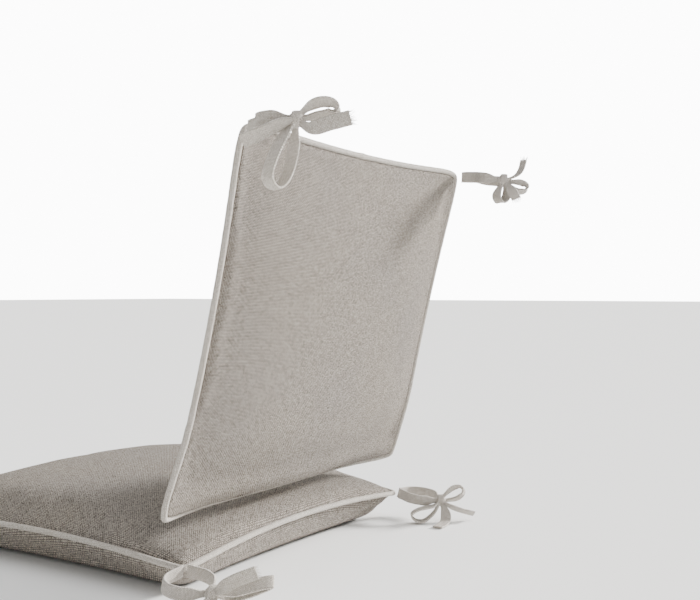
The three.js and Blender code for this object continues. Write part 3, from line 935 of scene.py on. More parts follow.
    def build(self) -> None:
        cover, a, b, side = self.rest_cover()
        self.blow_up(cover, a, b, side)
        self.pucker(cover, a, b, side)
        self.crease_seam(cover, side)
        smooth = cover.modifiers.new("smooth", "SUBSURF")
        smooth.levels = smooth.render_levels = 1
        apply_modifiers(cover)
        cover.vertex_groups.clear()
        cover.matrix_world = self.frame
        bpy.context.view_layer.update()
        tool = self.zip.slot_tool()
        bpy.context.view_layer.update()
        cut = cover.modifiers.new("slot", "BOOLEAN")
        cut.operation = "DIFFERENCE"
        cut.solver = "EXACT"
        cut.object = tool
        apply_modifiers(cover)
        bpy.data.objects.remove(tool)
        cover.data.polygons.foreach_set("use_smooth", [True] * len(cover.data.polygons))
        cover.data.set_sharp_from_angle(angle=math.radians(50))
        finish_with(cover, self.finish, self.body, self.nodes)
        self.build_piping()

    def seam_line(self, count: int = 560) -> tuple[Array, Array]:
        """The seam as a closed line in the cushion's own frame, and the way out from it."""
        quarter = count // 4
        t = np.linspace(-1, 1, quarter, endpoint=False)
        one = np.ones(quarter)
        a = np.concatenate([t, one, -t, -one])
        b = np.concatenate([one, -t, -one, t])
        start = quarter // 2
        a, b = np.roll(a, -start), np.roll(b, -start)
        across, along = self.outline.at(a, b)
        line = self.to_frame(across, along, self.seam(a, b))
        inner = self.to_frame(across * 0.9, along + 0.1 * (np.mean(along) - along), self.seam(a, b))
        t = tangents_of(line, closed=True)
        out = line - inner
        out -= (out * t).sum(1, keepdims=True) * t
        for _ in range(3):
            out = (np.roll(out, 1, axis=0) + out + np.roll(out, -1, axis=0)) / 3
        return line, out / np.linalg.norm(out, axis=1, keepdims=True)

    def build_piping(self) -> None:
        """Makes the piping: a corded strip all round the seam, lapped where its ends meet."""
        line, out = self.seam_line()
        for _ in range(2):
            line = (np.roll(line, 1, axis=0) + 2 * line + np.roll(line, -1, axis=0)) / 4
        centre = line + out * (self.PIPING_RADIUS - self.SEAM_GAP)
        t = tangents_of(centre, closed=True)
        out = out - (out * t).sum(1, keepdims=True) * t
        out /= np.linalg.norm(out, axis=1, keepdims=True)
        up = np.cross(t, out)
        sides = 14
        along = lengths_along(centre, closed=True)
        points = []
        swell = 1 + 0.035 * ripple(along[:-1] * 260, self.seed)
        lap = np.exp(-((along[:-1] - 0.012) ** 2) / 0.006**2)
        for k in range(sides):
            turn = 2 * math.pi * k / sides
            radius = self.PIPING_RADIUS * (swell + 0.16 * lap)
            shift = math.cos(turn) * out + math.sin(turn) * up
            points.append(centre + shift * radius[:, None])
        points = np.stack(points, axis=1).reshape(-1, 3)
        girth = 2 * math.pi * self.PIPING_RADIUS * np.arange(sides + 1) / sides
        faces, uvs = skin(len(centre), girth, along, closed=True)
        piping = add_mesh(f"{self.name}_piping_cord", points, faces, np.array(uvs))
        face_outwards(piping)
        piping.matrix_world = self.frame
        bpy.context.view_layer.update()
        finish_with(piping, PIPING, self.body, [f"{self.name}_piping"])


@dataclass
class SeatCushion(Cushion):
    """The seat cushion, flat where it rests.

    Attributes:
        corner_seam: The seam's height at the corners.
        seam_rise: How much higher it is between them.
        crown: The cushion's height.
        flat_to: How far the flat underside reaches, as a share of the way to the seam.
    """

    corner_seam: float = 0.032
    seam_rise: float = 0.010
    crown: float = 0.078
    flat_to: float = 0.7818

    def seam(self, a: Array, b: Array) -> Array:
        """The seam's place through the cushion's thickness."""
        return self.corner_seam + self.seam_rise * (1 - a * a * b * b)

    def faces_at(self, a: Array, b: Array) -> tuple[Array, Array]:
        """The places of its upper and its lower face through its thickness."""
        seam = self.seam(a, b)
        upper = seam + (self.crown - seam) * crowned(a) * crowned(b)
        lower = seam - seam * rolled(a, self.flat_to) * rolled(b, self.flat_to)
        return upper, lower

    def to_frame(self, across: Array, along: Array, through: Array) -> Array:
        """Points of the cushion's own frame."""
        return np.stack([across, along, through], axis=-1)

    def hold(self, a: Array, b: Array, side: Array, points: Array) -> Array:
        """How freely each vertex may move as the cover is blown up, 0 to 1."""
        under = (side < 0) & (points[:, 2] < 0.012)
        pressed = pressed_by_back(points)
        return np.where(under, 0.0, 1.0) * np.where(side > 0, 1 - pressed, 0.5)


@dataclass
class BackCushion(Cushion):
    """The back cushion, in the frame of the chair's leaning back.

    Attributes:
        seam_depth: The seam's place; the rear is the positive way.
        front: The front face's place in the middle.
        rear: The rear face's place in the middle.
        kick: How far the seat cushion pushes the bottom seam forward.
    """

    seam_depth: float = -0.042
    front: float = -0.084
    rear: float = -0.013
    kick: float = 0.033

    def seam(self, a: Array, b: Array) -> Array:
        """The seam's place through the cushion's thickness."""
        low = ramp(-b, 0.45, 1.0)
        return self.seam_depth - self.kick * low * (1 - 0.75 * a**4)

    def faces_at(self, a: Array, b: Array) -> tuple[Array, Array]:
        """The places of its upper and its lower face through its thickness."""
        seam = self.seam(a, b)
        share = crowned(a) * crowned(b)
        return seam + (self.rear - seam) * share, seam + (self.front - seam) * share

    def to_frame(self, across: Array, along: Array, through: Array) -> Array:
        """Points of the cushion's own frame."""
        return np.stack([across, through, along], axis=-1)

    def hold(self, a: Array, b: Array, side: Array, points: Array) -> Array:
        """How freely each vertex may move as the cover is blown up, 0 to 1."""
        rests = ramp(-b, 0.8, 0.93)
        return 1 - 0.85 * rests


def crowned(t: Array) -> Array:
    """0 at the seam, rising steeply and then gently to 1 in the middle."""
    return np.maximum(0, 1 - np.abs(t) ** 2.2) ** (1 / 2.2)


def rolled(t: Array, flat_to: float) -> Array:
    """0 at the seam, and 1 all over the flat middle."""
    past = np.maximum(0, (np.abs(t) - flat_to) / (1 - flat_to))
    return np.sqrt(np.maximum(0, 1 - past * past))


def pressed_by_back(points: Array) -> Array:
    """How much the back cushion rests on each point of the seat cushion's top, 0 to 1."""
    y = points[:, 1]
    return ramp(y, 0.120, 0.150) * (1 - ramp(y, 0.200, 0.215))


# ---- zips ----------------------------------------------------------------------------------------


class ZipBuilder:
    """Makes a zip's shown pieces in its channel."""

    COIL_PITCH = 0.0016
    COIL_RADIUS = 0.00052
    COIL_END = 0.013  # slot left at each end of the coils
    TAPE_END = 0.004  # and at each end of the tapes
    TAPE_RIPPLE = 0.00008
    RIPPLES = 900.0  # radians in a metre of tape

    def __init__(self, zip_: Zip) -> None:
        self.zip = zip_

    def build(self) -> None:
        for side, sign in (("a", 1), ("b", -1)):
            self._coil(side, sign)
            self._tape(side, sign)
        for ending in ("stop_closed", "stop_open"):
            self._metal(ending, self.zip.cushion, 0.0003)
        self._metal("slider", self.zip.slider, 0.0002)
        self._metal("pull", self.zip.pull, 0.00022)

    def _metal(self, ending: str, body: Body, rounding: float) -> None:
        """One of its metal pieces, with rounded edges."""
        node = f"{self.zip.prefix}_zip_{ending}"
        source = frame["nodes"][node]
        piece = bpy.data.objects.new(f"{node}_metal", source.data.copy())
        piece.matrix_world = source.matrix_world
        bpy.context.scene.collection.objects.link(piece)
        weld = piece.modifiers.new("weld", "WELD")
        weld.merge_threshold = 0.00002
        rounded = piece.modifiers.new("rounded", "BEVEL")
        rounded.width = rounding
        rounded.segments = 2
        rounded.limit_method = "ANGLE"
        rounded.angle_limit = math.radians(35)
        apply_modifiers(piece)
        piece.data.polygons.foreach_set("use_smooth", [True] * len(piece.data.polygons))
        piece.data.set_sharp_from_angle(angle=math.radians(40))
        finish_with(piece, ZIP_METAL, body, [node])

    def _coil(self, side: str, sign: int) -> None:
        """One coil: a row of small loops of nylon."""
        half = self.zip.half - self.COIL_END
        turns = int(2 * half / self.COIL_PITCH)
        per_turn, sides = 8, 5
        t = np.linspace(0, turns * 2 * math.pi, turns * per_turn)
        x = -half + 2 * half * t / t[-1]
        y = sign * (0.0016 + 0.00075 * np.cos(t))
        z = -0.0045 + 0.00048 * np.sin(t)
        centre = np.stack([x, y, z], axis=1)
        along = tangents_of(centre)
        one = np.cross(along, np.array([0.0, 0.0, 1.0]))
        one /= np.linalg.norm(one, axis=1, keepdims=True)
        other = np.cross(along, one)
        rings = [
            centre + self.COIL_RADIUS * (math.cos(w) * one + math.sin(w) * other)
            for w in np.linspace(0, 2 * math.pi, sides, endpoint=False)
        ]
        points = np.stack(rings, axis=1).reshape(-1, 3)
        faces, _ = skin(len(centre), np.zeros(sides + 1), np.zeros(len(centre)))
        faces += end_faces(len(centre), sides)
        node = f"{self.zip.prefix}_zip_coil_{side}"
        piece = add_mesh(f"{node}_loops", points, faces)
        piece.matrix_world = self.zip.matrix
        bpy.context.view_layer.update()
        finish_with(piece, ZIP_COIL, self.zip.cushion, [node])

    def _tape(self, side: str, sign: int) -> None:
        """One woven tape, with its beaded edge and its hem up into the cover."""
        profile = [
            (0.0028, -0.0041),
            (0.0050, -0.0041),
            (0.0056, -0.0036),
            (0.0056, -0.0019),
            (0.0060, -0.0017),
            (0.0095, -0.0017),
            (0.0095, -0.0047),
            (0.0028, -0.0047),
        ]
        steps = 60
        end = self.zip.half - self.TAPE_END
        xs = np.linspace(-end, end, steps)
        count = len(profile)
        points = [
            (x, sign * y, z + self.TAPE_RIPPLE * math.sin(x * self.RIPPLES)) for x in xs for y, z in profile
        ]
        sides = [math.dist(profile[k], profile[(k + 1) % count]) for k in range(count)]
        faces, uvs = skin(steps, np.concatenate([[0], np.cumsum(sides)]), xs)
        for end in end_faces(steps, count):
            faces.append(end)
            uvs += [profile[k % count] for k in end]
        node = f"{self.zip.prefix}_zip_tape_{side}"
        piece = add_mesh(f"{node}_woven", np.array(points), faces, np.array(uvs))
        face_outwards(piece)
        piece.data.set_sharp_from_angle(angle=math.radians(40))
        piece.matrix_world = self.zip.matrix
        bpy.context.view_layer.update()
        finish_with(piece, ZIP_TAPE, self.zip.cushion, [node])


# ---- bows ----------------------------------------------------------------------------------------


@dataclass(frozen=True)
class Leg:
    """The part of a bow's tape past its knot, in the bow's own frame, in millimetres from the knot.

    Attributes:
        loop: The points that its loop goes through.
        loop_wide: The way the tape's width runs on the loop.
        tail: The points that its tail goes through.
        tail_wide: The way the tape's width runs on the tail.
        frayed: Whether its end has come loose into fibres.
    """

    loop: tuple[tuple[float, float, float], ...]
    loop_wide: tuple[float, float, float]
    tail: tuple[tuple[float, float, float], ...]
    tail_wide: tuple[float, float, float]
    frayed: bool = False


@dataclass(frozen=True)
class Bow:
    """One bow, tied round a post of the chair.

    Attributes:
        name: The part of its nodes' names that is its own.
        side: 1 at the +X post, -1 at the other.
        knot: The knot's centre, in millimetres.
        post: A point on the post's axis beside the bow, in millimetres.
        post_radius: The post's radius there, in millimetres.
        leaves: Where the tape leaves the cushion, in millimetres.
        plus: The leg that passes the post's +X side.
        minus: The other leg.
    """

    name: str
    side: int
    knot: tuple[float, float, float]
    post: tuple[float, float, float]
    post_radius: float
    leaves: tuple[float, float, float]
    plus: Leg
    minus: Leg


def on_lean(x: float, behind: float, along: float) -> tuple[float, float, float]:
    """A point across the chair, behind its posts' axes and along them, as one of the set's, in mm."""
    cos, sin = math.cos(POST_LEAN), math.sin(POST_LEAN)
    return (x, 240 + along * sin + behind * cos, 25 + along * cos - behind * sin)


POST_UP = np.array([0.0, math.sin(POST_LEAN), math.cos(POST_LEAN)])
BOW_TURN = math.radians(123.6)

BOWS = (
    Bow(
        name="top_left",
        side=1,
        knot=(213, 362, 440),
        post=on_lean(215, 0, 429),
        post_radius=15.5,
        leaves=on_lean(206, -34, 419),
        plus=Leg(
            loop=(
                (-10, -9, -16), (-19, -11, -35), (-23, -8, -51), (-17, 0, -58), (-9, 7, -49),
                (-4, 8, -31), (-1, 6, -14),
            ),
            loop_wide=(0.75, -0.65, 0),
            tail=((13, -5, -8), (31, -4, -3), (46, -3, 1)),
            tail_wide=(0, 0, 1),
            frayed=True,
        ),
        minus=Leg(
            loop=((9, -1, 9), (20, -3, 14), (31, -2, 13), (34, 1, 8), (26, 5, 5), (13, 5, 3)),
            loop_wide=(0, -0.85, 0.5),
            tail=((-8, -10, -4), (-24, -14, -12), (-44, -12, -20)),
            tail_wide=(0.2, -0.6, 0.75),
        ),
    ),
    Bow(
        name="top_right",
        side=-1,
        knot=(-209, 362, 433),
        post=on_lean(-215, 0, 424),
        post_radius=15.5,
        leaves=on_lean(-206, -34, 419),
        plus=Leg(
            loop=((-5, -4, -10), (-9, -5, -20), (-4, -2, -28), (4, 3, -22), (4, 3, -10)),
            loop_wide=(0.7, -0.7, 0),
            tail=((9, -3, 2), (17, -3, 6), (22, -3, 13), (25, -3, 24)),
            tail_wide=(0.4, -0.9, 0),
            frayed=True,
        ),
        minus=Leg(
            loop=((10, 1, -2), (22, 1, -3), (30, 2, -8), (27, 4, -13), (18, 5, -13), (9, 4, -7)),
            loop_wide=(0, -0.9, 0.4),
            tail=((6, -7, -9), (11, -9, -17), (15, -8, -24)),
            tail_wide=(0.8, -0.5, 0),
            frayed=True,
        ),
    ),
    Bow(
        name="seat_left",
        side=1,
        knot=(216, 270, 25),
        post=(215, 240, 25),
        post_radius=21.7,
        leaves=(198.5, 219.5, 32),
        plus=Leg(
            loop=(
                (-8, -8, -7), (-20, -15, -12), (-33, -19, -16), (-40, -20, -20), (-33, -20, -23),
                (-20, -19, -22), (-8, -11, -14),
            ),
            loop_wide=(0, -1, 0),
            tail=((8, -9, 6), (22, -12, 15), (41, -11, 22)),
            tail_wide=(0, -0.2, 1),
            frayed=True,
        ),
        minus=Leg(
            loop=(
                (12, 0, 1), (27, -1, 4), (45, 0, 9), (56, 2, 10), (45, 5, 4), (27, 5, -2),
                (12, 3, -4),
            ),
            loop_wide=(0, -0.75, -0.66),
            tail=((4, -8, -8), (6, -14, -16), (5, -22, -22), (0, -36, -23.3), (-7, -48, -23.3)),
            tail_wide=(1, 0, 0),
        ),
    ),
    Bow(
        name="seat_right",
        side=-1,
        knot=(-219, 270, 25),
        post=(-215, 240, 25),
        post_radius=21.7,
        leaves=(-198.5, 219.5, 32),
        plus=Leg(
            loop=(
                (-8, -8, -5), (-18, -15, -6), (-30, -19, -8), (-39, -20, -14), (-34, -20, -21),
                (-24, -19, -22.8), (-13, -13, -17), (-6, -8, -10),
            ),
            loop_wide=(0, -1, 0),
            tail=((11, -6, -6), (24, -7, -11), (43, -7, -16)),
            tail_wide=(0.2, -0.8, 0.5),
        ),
        minus=Leg(
            loop=((8, -1, 9), (18, -2, 17), (27, -1, 17), (30, 1, 10), (24, 4, 2), (12, 5, -1)),
            loop_wide=(-0.3, -0.8, 0.5),
            tail=((4, -8, -8), (6, -13, -15), (5, -20, -21), (0, -33, -23.3), (-8, -46, -23.3)),
            tail_wide=(1, 0, 0),
        ),
    ),
)


class BowBuilder:
    """Makes one bow: two tapes from the cushion round the post, and the knot that they meet in."""

    WIDTH = 0.013
    THICK = 0.0024
    STEP = 0.0012
    GATHERED = 0.5
    GATHER_LONG = 0.014
    KNOT = (0.0085, 0.0065, 0.0075)
    KNOT_BEGINS = 0.0075  # how far from the knot's middle the tape begins to open out
    WRAP_SIDES = 16
    WRAP_HALF = 0.0042
    FIBRES = 46
    STITCHED = {"inner": (-1.7, 2.0), "outer": (1.9, -1.0)}
    MEETS_POST = 0.35  # radians round the post from where a tape leaves the cushion
    PLUS_LEAVES = 45.0  # where each leg leaves the post for the knot, in degrees
    MINUS_LEAVES = -215.0
    RING_STEP = 0.5
    RING_GAP = 1.7  # from the post to the tape's middle, in millimetres

    def __init__(self, bow: Bow) -> None:
        self.bow = bow
        turn = Matrix.Rotation(BOW_TURN, 4, "Z")
        self.frame = Matrix.Translation(Vector(bow.knot) * MM) @ turn
        self.centre = np.array(bow.knot, float) * MM

    def build(self) -> None:
        self._tape(True, [self._knot()])
        self._tape(False, [])

    def _to_set(self, point: Sequence[float]) -> Array:
        """A point of the bow's frame, in millimetres, as one of the set's frame, in metres."""
        return np.array(self.frame @ (Vector(point) * MM))

    def _turned(self, direction: Sequence[float]) -> Array:
        """A direction of the bow's frame as one of the set's."""
        d = np.array(self.frame.to_3x3() @ Vector(direction))
        return d / np.linalg.norm(d)

    def _ring(self, passes_plus: bool) -> list[Array]:
        """The leg's way round the post, from the cushion to the knot."""
        bow = self.bow
        inner = passes_plus != (bow.side > 0)
        outwards, backwards = self.STITCHED["inner" if inner else "outer"]
        start = np.array(bow.leaves, float)
        start += (bow.side * outwards, backwards, 0)
        post = np.array(bow.post, float)
        radius = bow.post_radius + self.RING_GAP
        begins = math.atan2(start[1] - post[1], start[0] - post[0])
        begins += self.MEETS_POST if passes_plus else -self.MEETS_POST
        ends = math.radians(self.PLUS_LEAVES if passes_plus else self.MINUS_LEAVES)
        route = [start]
        stops = max(3, round(abs(ends - begins) / self.RING_STEP))
        for i in range(stops + 1):
            turn = begins + (ends - begins) * i / stops
            level = start[2] + (bow.knot[2] - start[2]) * (i + 1) / (stops + 2)
            centre = post + POST_UP * (level - post[2]) / math.cos(POST_LEAN)
            x, y = centre[0] + radius * math.cos(turn), centre[1] + radius * math.sin(turn)
            route.append(np.array([x, y, level]))
        return [p * MM for p in route]

    def _tape(self, passes_plus: bool, extras: list) -> None:
        """One leg, from the cushion's corner to its cut end, as one folded tape.

        Args:
            passes_plus: Whether it passes the post's +X side.
            extras: Other pieces that hang on it.
        """
        bow = self.bow
        leg = bow.plus if passes_plus else bow.minus
        end = "outer" if passes_plus == (bow.side > 0) else "inner"
        ring = self._ring(passes_plus)
        loop = [self._to_set(p) for p in leg.loop]
        tail = [self._to_set(p) for p in leg.tail]
        runs = [
            respaced(smooth_curve([*ring, self.centre]), self.STEP),
            respaced(smooth_curve([self.centre, *loop, self.centre]), self.STEP),
            respaced(smooth_curve([self.centre, *tail]), self.STEP),
        ]
        wides = [POST_UP, self._turned(leg.loop_wide), self._turned(leg.tail_wide)]
        path = np.vstack([runs[0], runs[1][1:], runs[2][1:]])
        wide = np.vstack(
            [np.tile(w, (len(r) - (k > 0), 1)) for k, (r, w) in enumerate(zip(runs, wides))]
        )
        for _ in range(14):
            path[1:-1] = (path[:-2] + 2 * path[1:-1] + path[2:]) / 4 * 0.5 + path[1:-1] * 0.5
            wide[1:-1] = (wide[:-2] + wide[1:-1] + wide[2:]) / 3
        seed = 1.7 * len(bow.name) + 3.1 * passes_plus + bow.side
        piece = self._ribbon(f"tape_{bow.name}_{end}", path, wide, seed)
        nodes = [f"tie_{bow.name}_{end}_{part}" for part in ("ring", "loop", "tail")]
        finish_with(piece, TAPE, Body.SEAT, nodes)
        if leg.frayed:
            extras.append(self._fray(f"fray_{bow.name}_{end}", path, wide, seed))

    def _ribbon(self, name: str, path: Array, wide: Array, seed: float):
        """A folded tape along a path: rounded edges, a soft crease along its middle and sewn edges.

        Args:
            name: The piece's name.
            path: Its centreline.
            wide: The way its width runs at each point.
            seed: Makes its irregularities its own.

        Returns:
            The object.
        """
        t = tangents_of(path)
        w = wide - (wide * t).sum(1, keepdims=True) * t
        w /= np.linalg.norm(w, axis=1, keepdims=True)
        n = np.cross(t, w)
        along = lengths_along(path)
        near = np.linalg.norm(path - self.centre, axis=1)
        opened = ramp(near, self.KNOT_BEGINS, self.KNOT_BEGINS + self.GATHER_LONG)
        share = self.GATHERED + (1 - self.GATHERED) * opened
        half = self.WIDTH / 2 * share * (1 + 0.03 * ripple(along * 160, seed))
        thick = self.THICK / 2 * (1.25 - 0.25 * share) * (1 + 0.08 * ripple(along * 210, seed + 1))
        cup = 0.0007 * ripple(along * 70, seed + 2) * share
        profile = []
        edge = 0.11
        for x in (-1.0, -0.97, -0.86, -0.72, -0.35, 0.0, 0.35, 0.72, 0.86, 0.97, 1.0):
            past = max(0.0, (abs(x) - 1 + edge) / edge)
            body = math.sqrt(max(0.0, 1 - past**2))
            stitched = 0.16 if abs(abs(x) - 0.72) < 0.01 else 0.0
            crease = 0.14 if x == 0.0 else 0.0
            profile.append((x, body - stitched - crease))
        ring = [(x, h) for x, h in profile] + [(x, -h) for x, h in reversed(profile[1:-1])]
        sides = len(ring)
        points = np.stack(
            [
                path
                + w * (half * x)[:, None]
                + n * (thick * h + cup * (x * x - 0.4))[:, None]
                for x, h in ring
            ],
            axis=1,
        ).reshape(-1, 3)
        across = [abs(ring[(k + 1) % sides][0] - ring[k][0]) * self.WIDTH / 2 for k in range(sides)]
        faces, uvs = skin(len(path), np.concatenate([[0], np.cumsum(across)]), along)
        for cap in end_faces(len(path), sides):
            faces.append(cap)
            for k in cap:
                x, h = ring[k % sides]
                uvs.append((x * self.WIDTH / 2, h * self.THICK / 2))
        piece = add_mesh(name, points, faces, np.array(uvs))
        face_outwards(piece)
        piece.data.set_sharp_from_angle(angle=math.radians(55))
        return piece

    def _fray(self, name: str, path: Array, wide: Array, seed: float):
        """Loose fibres at a tape's cut end.

        Args:
            name: The piece's name.
            path: The tape's centreline.
            wide: The way its width runs at each point.
            seed: Makes its fibres its own.

        Returns:
            The object.
        """
        draw = np.random.default_rng(int(abs(seed) * 100))
        t = path[-1] - path[-4]
        t /= np.linalg.norm(t)
        w = wide[-1] - (wide[-1] @ t) * t
        w /= np.linalg.norm(w)
        n = np.cross(t, w)
        points, faces, uvs = [], [], []
        for _ in range(self.FIBRES):
            x, z = draw.uniform(-0.95, 0.95), draw.uniform(-0.8, 0.8)
            root = path[-1] - t * 0.001 + w * x * self.WIDTH / 2 + n * z * self.THICK / 2
            long = draw.uniform(0.0015, 0.0065)
            lean = w * draw.uniform(-0.35, 0.35) + n * draw.uniform(-0.35, 0.35)
            bend = w * draw.uniform(-0.4, 0.4) + n * draw.uniform(-0.4, 0.4)
            radius = draw.uniform(0.00012, 0.00024)
            base = len(points)
            stops, sides = 5, 4
            for i in range(stops):
                s = i / (stops - 1)
                centre = root + (t + lean) * long * s + bend * long * s * s
                for k in range(sides):
                    turn = 2 * math.pi * k / sides
                    r = radius * (1 - 0.6 * s)
                    points.append(centre + r * (math.cos(turn) * w + math.sin(turn) * n))
            side_faces, side_uvs = skin(stops, [0.0] * (sides + 1), MM * np.arange(stops), first=base)
            faces += side_faces
            uvs += side_uvs
            faces.append([base + (stops - 1) * sides + k for k in range(sides)])
            uvs += [(0, 0)] * sides
        piece = add_mesh(name, np.array(points), faces, np.array(uvs))
        finish_with(piece, FIBRE, Body.SEAT)
        return piece

    def _knot(self):
        """The knot: the wraps that cross over each other where both legs meet.

        Returns:
            The object.
        """
        right, away, up = self.KNOT
        wraps = (
            (0.0, 0.0, 0.0, 1.0),
            (math.radians(62), 0.0006, 0.0, 0.86),
            (math.radians(-48), -0.0008, 0.0, 0.84),
        )
        pieces = []
        for number, (roll, shift, lift, size) in enumerate(wraps):
            angle = np.linspace(0, 2 * math.pi, 44, endpoint=False)
            reach_away = (away - self.THICK * 0.45) * size
            reach_up = (up - self.THICK * 0.45) * size
            y = reach_away * np.cos(angle)
            z = reach_up * np.sin(angle) + lift
            x = shift + 0.0012 * np.sin(angle + number)
            centre = np.stack([np.full_like(angle, 1.0) * x, y, z], axis=1)
            wide = np.tile(np.array([1.0, 0.0, 0.0]), (len(angle), 1))
            cos, sin = math.cos(roll), math.sin(roll)
            turn = np.array([[cos, 0, sin], [0, 1, 0], [-sin, 0, cos]])
            pieces.append(self._wrap(f"wrap_{number}", centre @ turn.T, wide @ turn.T, self.WRAP_HALF * size))
        bm = bmesh.new()
        bmesh.ops.create_uvsphere(bm, u_segments=20, v_segments=12, radius=1.0)
        for v in bm.verts:
            v.co = Vector((v.co.x * right * 0.72, v.co.y * away * 0.72, v.co.z * up * 0.72))
        mesh = bpy.data.meshes.new("core")
        mesh.uv_layers.new(name="thread")
        bm.loops.layers.uv.new("thread")
        bm.to_mesh(mesh)
        bm.free()
        core = bpy.data.objects.new("core", mesh)
        bpy.context.scene.collection.objects.link(core)
        knot = joined(f"knot_{self.bow.name}", [*pieces, core])
        knot.data.transform(self.frame)
        knot.data.polygons.foreach_set("use_smooth", [True] * len(knot.data.polygons))
        finish_with(knot, TAPE, Body.SEAT, [f"tie_{self.bow.name}_knot"])
        return knot

    def _wrap(self, name: str, centre: Array, wide: Array, half: float):
        """One closed band of tape round the knot."""
        t = tangents_of(centre, closed=True)
        w = wide - (wide * t).sum(1, keepdims=True) * t
        w /= np.linalg.norm(w, axis=1, keepdims=True)
        n = np.cross(t, w)
        section = []
        for v in np.linspace(0, 2 * math.pi, self.WRAP_SIDES, endpoint=False):
            x, y = math.cos(v), math.sin(v)
            section.append((math.copysign(abs(x) ** 0.7, x), math.copysign(abs(y) ** 0.8, y)))
        points = np.stack(
            [centre + w * x * half + n * y * self.THICK * 0.5 for x, y in section], axis=1
        ).reshape(-1, 3)
        across = [x * half for x, _ in [*section, section[0]]]
        faces, uvs = skin(len(centre), across, lengths_along(centre, closed=True), closed=True)
        piece = add_mesh(name, points, faces, np.array(uvs))
        face_outwards(piece)
        return piece


# ---- camera, floor and lights ----------------------------------------------------------------------


@dataclass(frozen=True)
class CameraView:
    """The camera.

    Attributes:
        place: Where it stands.
        back: The way out of its back.
        right: The way to its right.
        lens: Its focal length in millimetres, on a 36 mm sensor.
    """

    place: tuple[float, float, float] = (0.8178, 0.8191, 0.2949)
    back: tuple[float, float, float] = (0.8326, 0.5539, 0.0085)
    right: tuple[float, float, float] = (-0.5539, 0.8326, 0.0)
    lens: float = 46.29

    def build(self) -> None:
        """Makes the camera and makes it the scene's."""
        back = Vector(self.back).normalized()
        right = Vector(self.right).normalized()
        up = back.cross(right).normalized()
        data = bpy.data.cameras.new("camera")
        data.lens = self.lens
        data.sensor_width = 36.0
        data.clip_start = 0.01
        camera = bpy.data.objects.new("camera", data)
        turn = Matrix((right, up, back)).transposed().to_4x4()
        camera.matrix_world = Matrix.Translation(self.place) @ turn
        bpy.context.scene.collection.objects.link(camera)
        bpy.context.scene.camera = camera


@dataclass(frozen=True)
class SoftBox:
    """A large soft light, far enough away to light the floor as evenly as the cushions.

    Attributes:
        name: Its name.
        towards: The way from the set to the light.
        power: Its strength.
        spread: How wide it looks from the set, in degrees.
        color: Its colour.
    """

    name: str
    towards: tuple[float, float, float]
    power: float
    spread: float
    color: tuple[float, float, float] = (1.0, 1.0, 1.0)

    def build(self) -> None:
        """Makes the light."""
        data = bpy.data.lights.new(self.name, "SUN")
        data.energy = self.power
        data.angle = math.radians(self.spread)
        data.color = self.color
        light = bpy.data.objects.new(self.name, data)
        light.matrix_world = Vector(self.towards).to_track_quat("Z", "Y").to_matrix().to_4x4()
        bpy.context.scene.collection.objects.link(light)


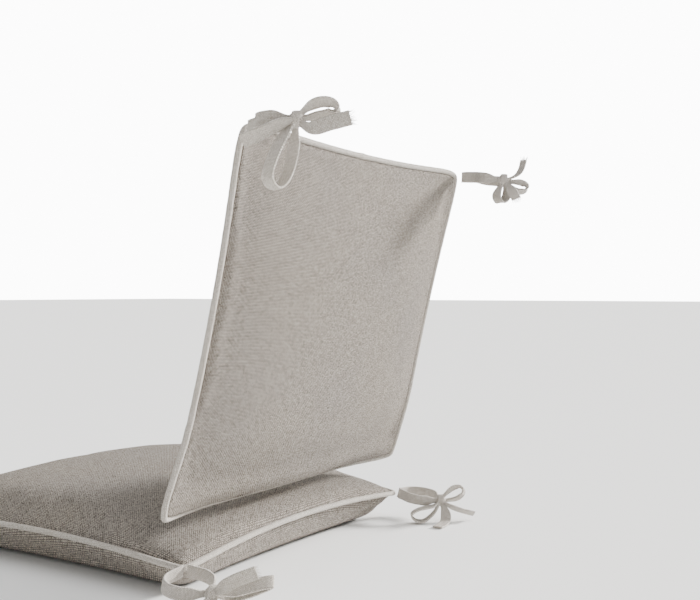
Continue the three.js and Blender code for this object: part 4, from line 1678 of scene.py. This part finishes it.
class Studio:
    """The plain pale floor, the backdrop's light and the soft boxes."""

    LIGHTS = (
        SoftBox("key", (-1.0, 0.60, 0.50), 10.0, 12.0, (1.0, 0.985, 0.96)),
        SoftBox("top", (-0.1, 0.3, 1.0), 1.6, 60.0),
    )
    AMBIENT = 0.6
    BACKDROP = 12.0

    def build(self) -> None:
        """Makes the floor, the world's light and the soft boxes."""
        half = 30.0
        floor = add_mesh(
            "floor",
            np.array([(-half, -half, 0), (half, -half, 0), (half, half, 0), (-half, half, 0)], float),
            [[0, 1, 2, 3]],
        )
        paint = bpy.data.materials.new("floor_paint")
        paint.use_nodes = True
        shader = paint.node_tree.nodes["Principled BSDF"]
        shader.inputs["Base Color"].default_value = (0.93, 0.93, 0.92, 1.0)
        shader.inputs["Roughness"].default_value = 0.7
        shader.inputs["Specular IOR Level"].default_value = 0.1
        floor.data.materials.append(paint)
        floor.location.z = -0.0004
        world = bpy.data.worlds.new("studio")
        world.use_nodes = True
        nodes = Nodes(world.node_tree)
        seen = nodes.add("ShaderNodeLightPath").outputs["Is Camera Ray"]
        background = world.node_tree.nodes["Background"]
        background.inputs["Color"].default_value = (1.0, 1.0, 1.0, 1.0)
        strength = nodes.span(seen, 0.0, 1.0, self.AMBIENT, self.BACKDROP)
        world.node_tree.links.new(strength, background.inputs["Strength"])
        bpy.context.scene.world = world
        for light in self.LIGHTS:
            light.build()


# ---- the set -------------------------------------------------------------------------------------


def lean_frame() -> Matrix:
    """The frame of the chair's leaning back: Z along its posts and +Y behind them."""
    return Matrix.Translation(POST_FOOT) @ Matrix.Rotation(-POST_LEAN, 4, "X")


def seat_cushion() -> SeatCushion:
    """The seat cushion's sizes."""
    zip_ = Zip(
        prefix="seat",
        matrix=Matrix.Translation((0, 0.112, 0)) @ Matrix.Rotation(math.pi, 4, "X"),
        half=0.152,
        cushion=Body.SEAT,
        slider=Body.SEAT_SLIDER,
        pull=Body.SEAT_PULL,
    )
    return SeatCushion(
        name="seat",
        outline=Outline(-0.222, 0.217, 0.230, 0.197, 0.009, 0.007, 0.012, 0.004),
        body=Body.SEAT,
        finish=COVER_FLAT,
        swell=Swell(cap=0.007),
        nodes=("seat_top_panel", "seat_bottom_front_panel", "seat_bottom_rear_panel", "seat_insert"),
        zip=zip_,
        seed=0.7,
    )


def back_cushion() -> BackCushion:
    """The back cushion's sizes."""
    lean = lean_frame()
    tilt = Matrix.Rotation(math.pi + math.radians(28), 4, "X")
    zip_ = Zip(
        prefix="back",
        matrix=lean @ Matrix.Translation((0, -0.0592, 0.0432)) @ tilt,
        half=0.099,
        cushion=Body.BACK,
        slider=Body.BACK_SLIDER,
        pull=Body.BACK_PULL,
    )
    return BackCushion(
        name="back",
        outline=Outline(0.040, 0.422, 0.211, 0.208, 0.010, -0.006, 0.008, 0.006),
        body=Body.BACK,
        finish=COVER_UPRIGHT,
        swell=Swell(cap=0.008),
        nodes=("back_front_panel", "back_rear_panel", "back_insert"),
        zip=zip_,
        seed=4.2,
        frame=lean,
    )


def main() -> None:
    """Builds the whole scene."""
    logging.basicConfig(level=logging.INFO)
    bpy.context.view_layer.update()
    CameraView().build()
    for bow in BOWS:
        BowBuilder(bow).build()
    for cushion in (seat_cushion(), back_cushion()):
        cushion.build()
        ZipBuilder(cushion.zip).build()
    Studio().build()


if __name__ == "__main__":
    main()
